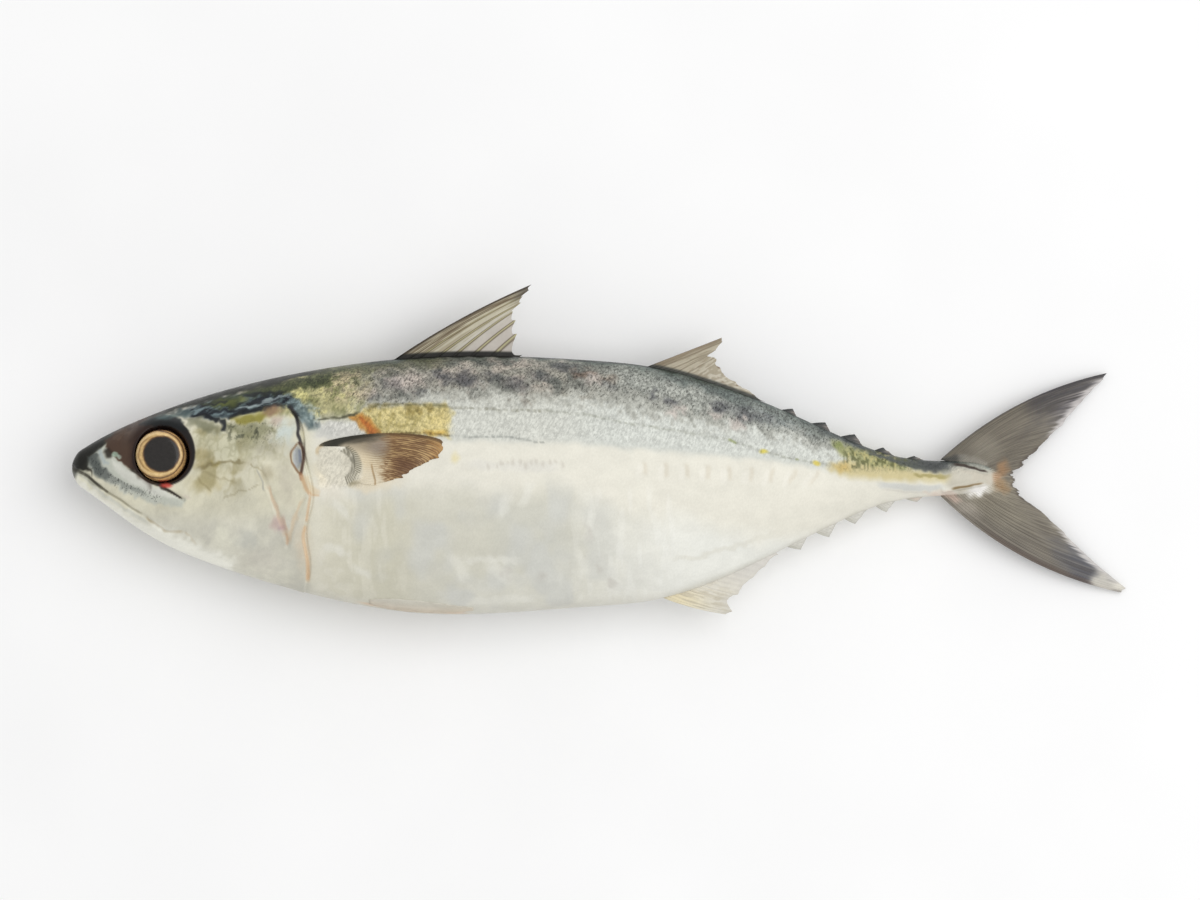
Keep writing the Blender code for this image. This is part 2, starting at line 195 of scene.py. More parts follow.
def line_distance(u, v, points):
    """Distance to a line through the points, and how far along it, from 0 to 1."""
    points = smooth_line(points)
    best = np.full(u.shape, 1e9)
    along = np.zeros(u.shape)
    lengths = np.linalg.norm(np.diff(points, axis=0), axis=1)
    start = np.concatenate([[0], np.cumsum(lengths)])
    for a, b, length, before in zip(points, points[1:], lengths, start):
        gap, share = to_segment(u, v, a, b)
        closer = gap < best
        best = np.where(closer, gap, best)
        along = np.where(closer, (before + share * length) / start[-1], along)
    return best, along


def smooth_line(points, parts=4):
    """More points between those given, on a curve through them."""
    points = np.array(points, float)
    if len(points) < 3:
        return points
    padded = np.vstack([2 * points[0] - points[1], points, 2 * points[-1] - points[-2]])
    found = []
    for a, b, c, d in zip(padded, padded[1:], padded[2:], padded[3:]):
        for t in np.arange(parts) / parts:
            bend = (2 * a - 5 * b + 4 * c - d) * t**2 + (3 * b - a - 3 * c + d) * t**3
            found.append(0.5 * (2 * b + (c - a) * t + bend))
    return np.array(found + [points[-1]])


class Canvas:
    """The colours of a surface's points, and how much of each fine pattern they carry."""

    def __init__(self, u, v, colour, around=None):
        """Around is the pixel row unrolled round the body, so that patterns don't smear on its edges."""
        self.u, self.v = u, v
        self.w = v if around is None else around
        self.rgb = np.tile(np.array(colour, float), (len(u), 1))
        self.speck = np.zeros(len(u))
        self.fleck = np.zeros(len(u))
        self.scale = np.zeros(len(u))
        self.wobble = (cloud(u, self.w, 5.0, 71) - 0.5, cloud(u, self.w, 5.0, 72) - 0.5)

    def lay(self, colour, mask):
        self.rgb += (np.array(colour, float) - self.rgb) * np.clip(mask, 0, 1)[:, None]

    def near(self, points, margin):
        points = np.array(points, float)
        low, high = points.min(axis=0) - margin, points.max(axis=0) + margin
        inside = (self.u > low[0]) & (self.u < high[0]) & (self.v > low[1]) & (self.v < high[1])
        return np.flatnonzero(inside)

    def inside(self, box, soft):
        """1 inside a box of left, top, right and bottom, falling to 0 towards its edges."""
        left, top, right, bottom = box
        level = step(self.u, left, left + soft) * step(self.u, right, right - soft)
        return level * step(self.v, top, top + soft) * step(self.v, bottom, bottom - soft)

    def spot(self, colour, centre, radii, amount=1.0, turn=0.0, edge=0.5, ragged=0.0):
        """A soft ellipse, turned by so many degrees down to the right."""
        radii = np.array(radii, float)
        chosen = self.near([centre], radii.max() * 1.3 + ragged)
        u = self.u[chosen] - centre[0] + ragged * self.wobble[0][chosen]
        v = self.v[chosen] - centre[1] + ragged * self.wobble[1][chosen]
        c, s = math.cos(math.radians(turn)), math.sin(math.radians(turn))
        r = np.hypot((u * c + v * s) / radii[0], (v * c - u * s) / radii[1])
        self.blend(chosen, colour, amount * step(r, 1.0 + edge * 0.5, 1.0 - edge))

    def stroke(self, colour, points, width, amount=1.0, edge=0.6, ragged=0.0, ends=0.15):
        """A soft line. Width may be one number or its start and end, and it fades at its ends."""
        widths = np.array([width, width] if np.isscalar(width) else width, float)
        chosen = self.near(points, widths.max() * 2 + ragged)
        u = self.u[chosen] + ragged * self.wobble[0][chosen]
        v = self.v[chosen] + ragged * self.wobble[1][chosen]
        gap, along = line_distance(u, v, points)
        half = 0.5 * (widths[0] + (widths[1] - widths[0]) * along)
        fade = step(along, 0.0, ends) * step(along, 1.0, 1.0 - ends) if ends else 1.0
        self.blend(chosen, colour, amount * fade * step(gap / half, 1.0 + edge, 1.0 - edge))

    def patch(self, colour, corners, amount=1.0, soft=2.0, ragged=0.0):
        """A filled outline with a soft edge."""
        chosen = self.near(corners, soft * 2 + ragged)
        u = self.u[chosen] + ragged * self.wobble[0][chosen]
        v = self.v[chosen] + ragged * self.wobble[1][chosen]
        corners = np.array(corners, float)
        inside = np.zeros(len(u), bool)
        gap = np.full(len(u), 1e9)
        for a, b in zip(corners, np.roll(corners, -1, axis=0)):
            crosses = (a[1] > v) != (b[1] > v)
            at = a[0] + (v - a[1]) * (b[0] - a[0]) / (b[1] - a[1] + 1e-9)
            inside ^= crosses & (u < at)
            gap = np.minimum(gap, to_segment(u, v, a, b)[0])
        signed = np.where(inside, gap, -gap)
        self.blend(chosen, colour, amount * step(signed, -soft, soft))

    def blend(self, chosen, colour, mask):
        self.rgb[chosen] += (np.array(colour, float) - self.rgb[chosen]) * np.clip(mask, 0, 1)[:, None]

    def write(self, mesh):
        """Stores the colours, in linear light, and the amounts as attributes of the mesh."""
        share = np.clip(self.rgb, 0, 255) / 255
        linear = np.where(share <= 0.04045, share / 12.92, ((share + 0.055) / 1.055) ** 2.4)
        colours = np.column_stack([linear, np.ones(len(linear))])
        mesh.attributes.new("tint", "FLOAT_COLOR", "POINT").data.foreach_set("color", colours.ravel())
        for name, values in (("speck", self.speck), ("fleck", self.fleck), ("scale", self.scale)):
            mesh.attributes.new(name, "FLOAT", "POINT").data.foreach_set("value", np.clip(values, 0, 1))


def make_piece(name, points, faces, material):
    """A mesh object from points in millimetres behind and over the snout, put where the CAD part lies."""
    placed = (np.asarray(points).reshape(-1, 3) - [*CENTRE, 0.0]) * 0.001
    mesh = bpy.data.meshes.new(name)
    mesh.from_pydata(placed.tolist(), [], faces)
    tidy = bmesh.new()
    tidy.from_mesh(mesh)
    bmesh.ops.recalc_face_normals(tidy, faces=tidy.faces)
    tidy.to_mesh(mesh)
    tidy.free()
    mesh.shade_smooth()
    piece = bpy.data.objects.new(name, mesh)
    bpy.context.scene.collection.objects.link(piece)
    piece.data.materials.append(material)
    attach(piece, "root")
    return piece


def grid_faces(rows, columns, start=0, wrap=False):
    last = columns if wrap else columns - 1
    index = start + np.arange(rows * columns).reshape(rows, columns)
    across = np.roll(index, -1, axis=1)
    quads = np.stack(
        [index[:-1, :last], index[1:, :last], across[1:, :last], across[:-1, :last]], axis=-1
    )
    return quads.reshape(-1, 4).tolist()


def sheet_faces(rows, columns):
    """Faces of a closed sheet: an upper grid, a lower grid and the edge between them."""
    count = rows * columns
    faces = grid_faces(rows, columns) + grid_faces(rows, columns, count)
    border = [(i, 0) for i in range(rows)] + [(rows - 1, j) for j in range(1, columns)]
    border += [(i, columns - 1) for i in range(rows - 2, -1, -1)]
    border += [(0, j) for j in range(columns - 2, 0, -1)]
    ring = [i * columns + j for i, j in border]
    faces += [(a, a + count, b + count, b) for a, b in zip(ring, ring[1:] + ring[:1])]
    return faces


class Nodes:
    """A short way to write a material's nodes."""

    def __init__(self, name):
        self.material = bpy.data.materials.new(name)
        self.material.use_nodes = True
        self.tree = self.material.node_tree
        self.shader = self.tree.nodes["Principled BSDF"]

    def add(self, kind, inputs=None, **settings):
        node = self.tree.nodes.new(kind)
        for key, value in settings.items():
            setattr(node, key, value)
        for key, value in (inputs or {}).items():
            self.put(node.inputs[key], value)
        return node

    def put(self, socket, value):
        if isinstance(value, bpy.types.NodeSocket):
            self.tree.links.new(value, socket)
        else:
            socket.default_value = value

    def math(self, operation, a, b=0.0, clamp=False):
        node = self.add("ShaderNodeMath", operation=operation, use_clamp=clamp)
        self.put(node.inputs[0], a)
        self.put(node.inputs[1], b)
        return node.outputs[0]

    def attribute(self, name, output="Fac"):
        return self.add("ShaderNodeAttribute", attribute_name=name).outputs[output]

    def millimetres(self, scale=(1.0, 1.0, 1.0), turn=0.0):
        """The object's own coordinates, in millimetres times scale, turned about Z first."""
        place = self.add("ShaderNodeTexCoord").outputs["Object"]
        turned = self.add("ShaderNodeVectorRotate", {"Vector": place, "Angle": math.radians(turn)})
        factors = tuple(1000.0 * s for s in scale)
        node = self.add("ShaderNodeVectorMath", operation="MULTIPLY")
        self.put(node.inputs[0], turned.outputs[0])
        self.put(node.inputs[1], factors)
        return node.outputs[0]

    def noise(self, scale, detail=2.0, turn=0.0, roughness=0.5):
        vector = self.millimetres(scale, turn)
        inputs = {"Vector": vector, "Scale": 1.0, "Detail": detail, "Roughness": roughness}
        return self.add("ShaderNodeTexNoise", inputs).outputs["Fac"]

    def ramp(self, value, low, high, to_low=0.0, to_high=1.0):
        inputs = {"Value": value, "From Min": low, "From Max": high, "To Min": to_low, "To Max": to_high}
        node = self.add("ShaderNodeMapRange", inputs, interpolation_type="SMOOTHSTEP")
        return node.outputs["Result"]

    def mix(self, factor, a, b, kind="MIX"):
        node = self.add("ShaderNodeMix", data_type="RGBA", blend_type=kind)
        for place, value in ((0, factor), (6, a), (7, b)):
            self.put(node.inputs[place], value)
        return node.outputs[2]


def skin_material(name, roughness, wet, bump):
    """Painted colour with dark specks, pale flecks, a faint cloudiness, small scales and a wet coat."""
    n = Nodes(name)
    tint = n.attribute("tint", "Color")
    cloudy = n.ramp(n.noise((0.22, 0.3, 0.3), 3.0), 0.25, 0.75, 0.95, 1.03)
    grain = n.ramp(n.noise((3.2, 1.8, 2.4), 2.0, 25.0), 0.3, 0.7, 0.97, 1.02)
    placing = {"Vector": n.millimetres((1.3, 1.9, 1.6), 28.0), "Scale": 1.0, "Randomness": 0.8}
    cells = n.add("ShaderNodeTexVoronoi", placing)
    scales = n.math("MULTIPLY", cells.outputs["Distance"], n.attribute("scale"))
    one = n.add("ShaderNodeSeparateColor", {"Color": cells.outputs["Color"]}).outputs["Red"]
    fleck = n.attribute("fleck")
    varied = n.math("MULTIPLY", n.math("SUBTRACT", one, 0.5), 0.34)
    strokes = n.ramp(n.noise((2.3, 0.9, 1.5), 3.0, 28.0, 0.7), 0.38, 0.62, -0.30, 0.34)
    lively = n.math("ADD", n.math("MULTIPLY", n.math("ADD", varied, strokes), fleck), 1.0)
    shade = n.math("MULTIPLY", cloudy, grain)
    shade = n.math("MULTIPLY", shade, n.ramp(scales, 0.1, 0.9, 1.01, 0.88))
    shade = n.math("MULTIPLY", shade, lively)
    specks = n.ramp(n.noise((2.7, 1.3, 1.9), 4.0, 28.0, 0.75), 0.50, 0.64)
    specks = n.math("MULTIPLY", specks, n.attribute("speck"))
    shade = n.math("MULTIPLY", shade, n.ramp(specks, 0.0, 1.0, 1.0, 0.3))
    grey = n.add("ShaderNodeCombineColor", {"Red": shade, "Green": shade, "Blue": shade}).outputs[0]
    colour = n.mix(1.0, tint, grey, "MULTIPLY")
    n.put(n.shader.inputs["Base Color"], colour)
    uneven = n.ramp(n.noise((0.5, 0.5, 0.5), 2.0), 0.3, 0.7, roughness - 0.06, roughness + 0.08)
    n.put(n.shader.inputs["Roughness"], uneven)
    height = n.math(
        "ADD", n.math("MULTIPLY", scales, 1.0), n.math("MULTIPLY", n.noise((1.4, 1.4, 1.4)), 0.5)
    )
    inputs = {"Height": height, "Strength": bump, "Distance": 0.0002}
    n.put(n.shader.inputs["Normal"], n.add("ShaderNodeBump", inputs).outputs[0])
    n.shader.inputs["IOR"].default_value = 1.33
    n.shader.inputs["Coat Weight"].default_value = wet
    n.shader.inputs["Coat Roughness"].default_value = 0.22
    return n.material


def eye_material():
    n = Nodes("eye")
    tint = n.attribute("tint", "Color")
    streaks = n.ramp(n.noise((1.6, 1.6, 1.6), 4.0, 0.0, 0.6), 0.3, 0.7, 0.82, 1.1)
    grey = n.add("ShaderNodeCombineColor", {"Red": streaks, "Green": streaks, "Blue": streaks}).outputs[0]
    n.put(n.shader.inputs["Base Color"], n.mix(1.0, tint, grey, "MULTIPLY"))
    n.put(n.shader.inputs["Roughness"], n.ramp(n.noise((1.0, 1.0, 1.0)), 0.3, 0.7, 0.22, 0.32))
    n.shader.inputs["Specular IOR Level"].default_value = 0.25
    n.shader.inputs["Coat Weight"].default_value = 0.2
    n.shader.inputs["Coat Roughness"].default_value = 0.05
    return n.material


# The camera looks straight down on the left side, from so far that the view is all but parallel.
PICTURE = (1200, 900)
LENS = 1200.0
SENSOR = 36.0
FAR_CLIP = 20.0
WORLD_STRENGTH = 0.66
LIGHT_ENERGY = 13.5
LIGHT_SIZE = (1.8, 1.5)
LIGHT_PLACE = (0.75, 0.2, 1.3)
LIGHT_TILT = (-7.6, 30.0, 0.0)
FLOOR_SIZE = 6.0


def add_camera():
    data = bpy.data.cameras.new("camera")
    data.lens = LENS
    data.sensor_width = SENSOR
    data.clip_end = FAR_CLIP
    camera = bpy.data.objects.new("camera", data)
    bpy.context.scene.collection.objects.link(camera)
    x, y = to_mm((0.5 * PICTURE[0], 0.5 * PICTURE[1]))
    distance = LENS / SENSOR * PICTURE[0] * PX
    place = (x - CENTRE[0], y - CENTRE[1], distance + REST_LEVEL)
    camera.location = tuple(0.001 * value for value in place)
    bpy.context.scene.camera = camera


def add_light_and_floor():
    world = bpy.data.worlds.new("studio")
    world.use_nodes = True
    background = world.node_tree.nodes["Background"]
    background.inputs["Color"].default_value = (1.0, 1.0, 1.0, 1.0)
    background.inputs["Strength"].default_value = WORLD_STRENGTH
    bpy.context.scene.world = world
    data = bpy.data.lights.new("soft_box", "AREA")
    data.shape = "RECTANGLE"
    data.size, data.size_y = LIGHT_SIZE
    data.energy = LIGHT_ENERGY
    light = bpy.data.objects.new("soft_box", data)
    light.location = LIGHT_PLACE
    light.rotation_euler = [math.radians(turn) for turn in LIGHT_TILT]
    bpy.context.scene.collection.objects.link(light)
    bpy.ops.mesh.primitive_plane_add(size=FLOOR_SIZE)
    floor = bpy.context.object
    floor.name = "floor"
    n = Nodes("floor")
    value = n.ramp(n.noise((0.02, 0.02, 0.02), 2.0), 0.2, 0.8, 0.93, 0.96)
    grey = n.add("ShaderNodeCombineColor", {"Red": value, "Green": value, "Blue": value}).outputs[0]
    n.put(n.shader.inputs["Base Color"], grey)
    n.shader.inputs["Roughness"].default_value = 0.9
    n.shader.inputs["Specular IOR Level"].default_value = 0.1
    floor.data.materials.append(n.material)
    scene = bpy.context.scene
    scene.view_settings.view_transform = "Standard"
    scene.view_settings.look = "None"


# Lines and places on the head, in the photograph's pixels.
MOUTH = [
    (72.5, 466), (76, 470), (87.6, 476), (97.5, 484.5), (109, 493), (121, 500), (132, 508), (144, 515)
]
JAW_HINGE = [(144, 515), (156, 525), (166, 531), (175, 532.5), (185, 531)]
EYE_CREASE = [(129, 468), (145.6, 478), (164, 488), (173, 493), (184, 499.5)]
GILL_SLIT_LINE = [
    (288, 404), (294, 412), (298, 424), (299, 436), (302.5, 446), (303.5, 456), (302, 466), (301.5, 474),
    (306.5, 488), (311, 495), (309, 506), (306.5, 523), (303.5, 536), (305.6, 549), (308, 564),
    (308, 584),
]
PREOPERCLE = [(261, 468), (267, 484), (273, 498), (276.6, 509), (282, 522), (287, 539)]
INNER_GILL = [(305, 496), (300, 508), (296, 518), (290, 536), (288, 546)]
JAW_SPECKS = [(92, 462), (104, 473), (118, 483), (134, 490), (152, 496), (170, 504)]
JAW_PLATE = [(100, 458), (118, 474), (140, 487), (165, 500), (182, 511)]
TAIL_KEELS = [[(940, 465), (958, 465.5), (988, 473)], [(944, 490), (956, 488), (986, 483)]]


def relief(u, v):
    """How far the skin stands out from the plain sections, in millimetres."""
    x, y = to_mm((u, v))
    ahead = gill_edge(y) - x
    height = 0.7 * np.clip(1 - ahead / 14.0, 0, 1) ** 2 * step(ahead, -0.25, 0.25) * step(y, 15.0, 13.0)
    slit = step(np.abs(ahead + 0.35), 0.5, 0.1) * step(y, -24.0, -22.0) * step(y, 13.5, 12.0)
    height -= (0.22 + 0.38 * step(y, -1.0, 4.0)) * slit
    height -= 0.45 * step(np.hypot((u - 297.5) / 5.0, (v - 458) / 13.5), 1.2, 0.5)
    head = np.where((u < 330) & (v > 380), u, 2000.0)
    mouth, along = line_distance(head, v, MOUTH + JAW_HINGE[1:])
    height -= (0.5 - 0.35 * along) * step(mouth, 2.6, 0.4)
    height += 0.18 * step(mouth, 12.0, 3.0) * step(u, 190, 150) * (v > 466)
    for line, depth, width in ((EYE_CREASE, 0.4, 2.6), (PREOPERCLE, 0.2, 4.0), (INNER_GILL, 0.16, 3.5)):
        gap, _ = line_distance(head, v, line)
        height -= depth * step(gap, width, 0.4)
    plate, _ = line_distance(head, v, JAW_PLATE)
    height += 0.3 * step(plate, 11.0, 3.0)
    r = np.hypot(x - EYE_CENTRE[0], y - EYE_CENTRE[1])
    height += (0.3 + 0.8 * step(y - EYE_CENTRE[1], -1.0, 6.0)) * step(r, 9.6, 6.4) * step(r, 5.5, 6.0)
    height -= 3.2 * step(r, 5.9, 5.65)
    height -= 0.35 * step(np.hypot((u - 117.5) / 4.0, (v - 455.5) / 2.6), 1.3, 0.5)
    height += 0.5 * step(np.hypot((u - 337) / 27.0, (v - 462) / 22.0), 1.25, 0.3)
    for line in TAIL_KEELS:
        gap, _ = line_distance(np.where(u > 920, u, 0.0), v, line)
        height += 0.4 * step(gap, 3.6, 0.5)
    trunk = step(u, 300, 360) * step(u, 930, 860)
    height += 0.35 * trunk * (clouds(u, v, 60.0, 5) - 0.5)
    height += 0.06 * trunk * (clouds(u, v * 0.6, 11.0, 6) - 0.5) * step(v, 500, 530)
    ribs = np.sin((u - 644 + 0.3 * np.abs(v - 470)) * 2 * math.pi / 21.2)
    height += 0.03 * ribs * step(u, 590, 650) * step(u, 870, 820) * step(np.abs(v - 472), 28, 8)
    return height


def across(u, line):
    """The pixel row, at each pixel column, of a line from head to tail."""
    return np.interp(u, [p[0] for p in line], [p[1] for p in line])


# Where the mottled back ends, the grey flank ends and the silver belly starts, from head to tail.
MOTTLED_TO = [
    (72, 452), (120, 430), (180, 418), (250, 408), (300, 412), (350, 408), (400, 400), (450, 396),
    (520, 395), (580, 395), (640, 405), (700, 416), (760, 430), (820, 443), (870, 454), (920, 464),
    (1000, 464),
]
GREY_TO = [
    (300, 436), (450, 440), (560, 443), (620, 448), (700, 454), (760, 460), (820, 468), (880, 474),
    (1000, 476),
]
BELLY_FROM = [
    (300, 490), (380, 484), (450, 484), (550, 488), (640, 506), (720, 524), (800, 530), (1000, 540)
]
# Blotches and painted highlights on the back: place, radii and, for the dark ones, amount.
DARK_BLOTCHES = [
    ((444, 377), (13, 7), 0.8), ((466, 380), (16, 8), 0.8), ((516, 384), (14, 9), 0.65),
    ((566, 369), (24, 4), 0.6), ((652, 395), (6, 5), 0.75), ((669, 403), (8, 5), 0.8),
    ((720, 408), (11, 5), 0.9), ((745, 415), (15, 8), 0.7), ((395, 384), (9, 7), 0.6),
    ((352, 374), (12, 6), 0.5), ((372, 398), (9, 5), 0.4), ((606, 384), (10, 5), 0.4),
    ((418, 394), (8, 4), 0.5), ((494, 376), (12, 6), 0.5), ((540, 376), (12, 6), 0.5),
    ((770, 416), (16, 6), 0.4),
]
# The first three pink ones, furthest back, are painted highlights; the rest are pink blotches.
PINK_BLOTCHES_AND_GLINTS = [
    ((676, 411), (10, 5)), ((713, 414), (8, 4)), ((738, 422), (9, 6)), ((406, 380), (20, 11)),
    ((355, 392), (17, 9)), ((384, 372), (10, 5)), ((592, 378), (9, 7)), ((438, 366), (12, 4)),
]


def paint_skin(u, v, w):
    """The skin's colours. Both sides carry the same marks."""
    x, _ = to_mm((u, v))
    top = SNOUT_PX[1] - back_height(x) / PX
    bottom = SNOUT_PX[1] - belly_height(x) / PX
    depth = (v - top) / np.maximum(bottom - top, 4.0)
    c = Canvas(u, v, (226, 223, 210), w)
    rough = clouds(u, w, 16.0, 11) - 0.5
    wide = clouds(u, w, 46.0, 21) - 0.5
    paint_belly(c, depth, wide)
    mottled = across(u, MOTTLED_TO)
    grey = across(u, GREY_TO)
    trunk = step(u, 300, 340)
    c.lay((207, 208, 199), step(v + 9 * rough + 5 * wide, grey + 4.5, grey - 4.5) * trunk)
    c.lay((206, 209, 202), 0.8 * step(v, grey + 1, grey - 5) * step(u, 540, 620))
    fine = cloud(u, w, 3.2, 23) - 0.5
    veil = step(v + 16 * fine + 10 * rough, mottled + 16, mottled + 2) * step(u, 760, 700)
    c.lay((176, 176, 166), 0.6 * veil * trunk)
    back = step(v + 24 * rough + 16 * wide + 16 * fine, mottled + 9, mottled - 15) * step(u, 962, 944)
    paint_back(c, back, v - top, mottled)
    paint_shoulder(c)
    paint_side_lines(c)
    paint_tail_stalk(c)
    paint_tail_root(c)
    flank = step(v + 10 * rough, grey + 3, grey - 10)
    c.speck = 0.75 * step(v + 14 * rough, mottled + 12, mottled - 12) + 0.27 * flank
    c.speck *= step(u, 240, 300) * (1 - 0.6 * c.inside((262, 378, 356, 432), 14))
    paint_head(c)
    stalk = step(u, 826, 846) * step(u, 950, 900) * step(v, 478, 468)
    c.speck = np.maximum(c.speck, 0.55 * stalk) * step(u, 975, 950)
    yellow = c.inside((352, 404, 452, 438), 4)
    c.speck = np.maximum(c.speck, 0.35 * yellow)
    lobe = c.inside((314, 442, 368, 492), 8)
    c.fleck = np.maximum.reduce([back, 0.5 * yellow, 0.4 * flank * trunk, 0.35 * lobe])
    c.fleck *= step(u, 225, 300) * step(depth, 0.0, 0.01) * (1 - 0.6 * stalk)
    c.scale = 0.15 + 0.5 * step(u, 300, 340) * step(v, grey + 4, grey - 4) * step(u, 960, 930)
    return c


# Marks on the belly: pale ones by line and width, grey ones by place and radii.
PALE_MARKS = [
    ([(446, 550), (458, 564), (470, 586)], (9, 13)), ([(484, 558), (498, 570), (514, 588)], (13, 9)),
    ([(455, 560), (490, 559), (530, 562)], (8, 5)), ([(452, 602), (500, 600), (556, 596)], (10, 5)),
    ([(594, 496), (591, 520), (584, 546)], (5, 9)), ([(577, 548), (582, 562), (587, 578)], (7, 10)),
    ([(612, 524), (620, 534), (628, 546)], (8, 5)), ([(512, 488), (504, 506), (498, 524)], (12, 7)),
    ([(534, 478), (526, 496), (518, 510)], (11, 6)), ([(640, 598), (660, 593), (680, 595)], (7, 4)),
    ([(326, 500), (342, 508), (352, 524)], (10, 6)), ([(318, 552), (334, 548), (350, 558)], (10, 6)),
    ([(350, 564), (362, 572), (376, 578)], (9, 5)),
]
GREY_MARKS = [
    ((506, 574), (6, 7)), ((541, 577), (6, 5)), ((611, 583), (5, 4)), ((599, 569), (5, 5)),
    ((588, 532), (4, 12)),
]


def paint_belly(c, depth, wide):
    u, v, w = c.u, c.v, c.w
    start = across(u, BELLY_FROM)
    silver = step(v + 30 * wide, start - 12, start + 22) * step(u, 300, 376)
    rear = step(u + 60 * wide, 560, 690)
    c.lay((206, 204, 190), silver * (1 - rear))
    c.lay((230, 230, 222), silver * rear)
    c.lay((200, 195, 168), 0.35 * step(u, 300, 330) * step(u, 430, 390) * step(v, 490, 510))
    torn = clouds(u + 0.5 * w, w - 0.3 * u, 13.0, 41, 4) - 0.5
    lower = across(u, [(440, 584), (470, 566), (560, 552), (640, 540)])
    low = step(v + 60 * torn, lower, lower + 20)
    c.lay((222, 221, 211), 0.45 * low * step(u + 40 * torn, 440, 462) * (1 - rear))
    middle = step(u, 480, 510) * step(u, 590, 550) * step(v, 490, 515) * step(v, 580, 560)
    c.lay((196, 197, 190), 0.3 * middle)
    c.lay((201, 202, 197), 0.6 * step(clouds(u, w, 40.0, 31), 0.5, 0.7) * silver * (1 - rear))
    streaks = clouds(u, w * 0.25, 5.0, 43, 2)
    bright = step(streaks, 0.52, 0.66) * step(u, 540, 600) * step(u, 720, 660) * step(v, 480, 500)
    c.lay((240, 240, 234), 0.2 * bright)
    cream = step(streaks, 0.55, 0.7) * step(u, 440, 380) * step(u, 320, 340) * step(v, 470, 480)
    c.lay((232, 229, 216), 0.25 * cream)
    behind_gill = step(clouds(u, w, 10.0, 45), 0.52, 0.66) * step(u, 372, 340) * step(u, 312, 322)
    c.lay((226, 223, 210), 0.3 * behind_gill)
    for line, width in PALE_MARKS:
        c.stroke((226, 225, 215), line, width, 0.5, ragged=4, ends=0.3)
    for place, radii in GREY_MARKS:
        c.spot((192, 188, 179), place, radii, 0.5, 0, 0.9, 7)
    c.stroke((214, 211, 198), [(666, 560), (700, 556), (740, 545), (790, 530)], 5.0, 0.45, ragged=6)
    belly_edge = [(352, 601), (380, 606), (410, 610), (440, 612), (474, 613)]
    c.stroke((222, 184, 150), belly_edge, (2.0, 3.0), 0.8)
    c.lay((202, 199, 188), 0.4 * step(depth, 0.955, 1.0))


def paint_back(c, back, below, mottled):
    u, v, w = c.u, c.v, c.w
    c.lay((150, 147, 136), back)
    c.lay((168, 170, 162), back * step(u, 560, 640))
    c.lay((136, 143, 141), 0.8 * back * step(u, 700, 780) * step(v, mottled + 2, mottled - 14))
    small = clouds(u, w, 15.0, 51)
    c.lay((84, 88, 84), 0.7 * back * step(small, 0.44, 0.66) * (1 - 0.75 * step(u, 560, 620)))
    pinkish = step(clouds(u, w, 11.0, 57), 0.52, 0.66) * step(u, 330, 380) * step(u, 620, 560)
    c.lay((188, 176, 164), 0.55 * back * pinkish)
    for place, radii, amount in DARK_BLOTCHES:
        c.spot((74, 74, 78), place, radii, 0.9 * amount, 8, 0.9, 9)
    c.spot((112, 90, 74), (584, 373), (14, 4), 0.6, 0, 0.9, 7)
    c.spot((132, 112, 96), (606, 380), (10, 4), 0.5, 0, 0.9, 7)
    # Pale pink spots; the three furthest back are painted highlights.
    for place, radii in PINK_BLOTCHES_AND_GLINTS:
        c.spot((204, 190, 182), place, radii, 0.55, 0, 0.9, 11)
    lumps = 7 * (clouds(u, w, 12.0, 53) - 0.5)
    c.lay((66, 70, 44), 0.75 * step(below + 1.5 * lumps, 16, 5) * step(u, 316, 368) * step(u, 460, 424))
    c.lay((104, 110, 102), 0.5 * step(below + 1.5 * lumps, 13, 4) * step(u, 540, 600))
    c.lay((80, 90, 88), 0.6 * step(below + 1.5 * lumps, 15, 5) * step(u, 640, 690) * step(u, 765, 730))
    c.lay((62, 76, 70), 0.6 * step(below + lumps, 4.5, 1.0) * step(u, 300, 330))
    c.lay((26, 36, 32), 0.8 * step(below + 0.5 * lumps, 1.8, 0.4) * step(u, 300, 330))
    c.lay((60, 66, 66), 0.9 * step(below + lumps, 8, 3) * step(u, 780, 860) * step(u, 968, 950))
    c.lay((20, 20, 18), 0.9 * step(np.abs(w) + 1.5 * lumps, 17, 8) * c.inside((400, 340, 526, 380), 6))


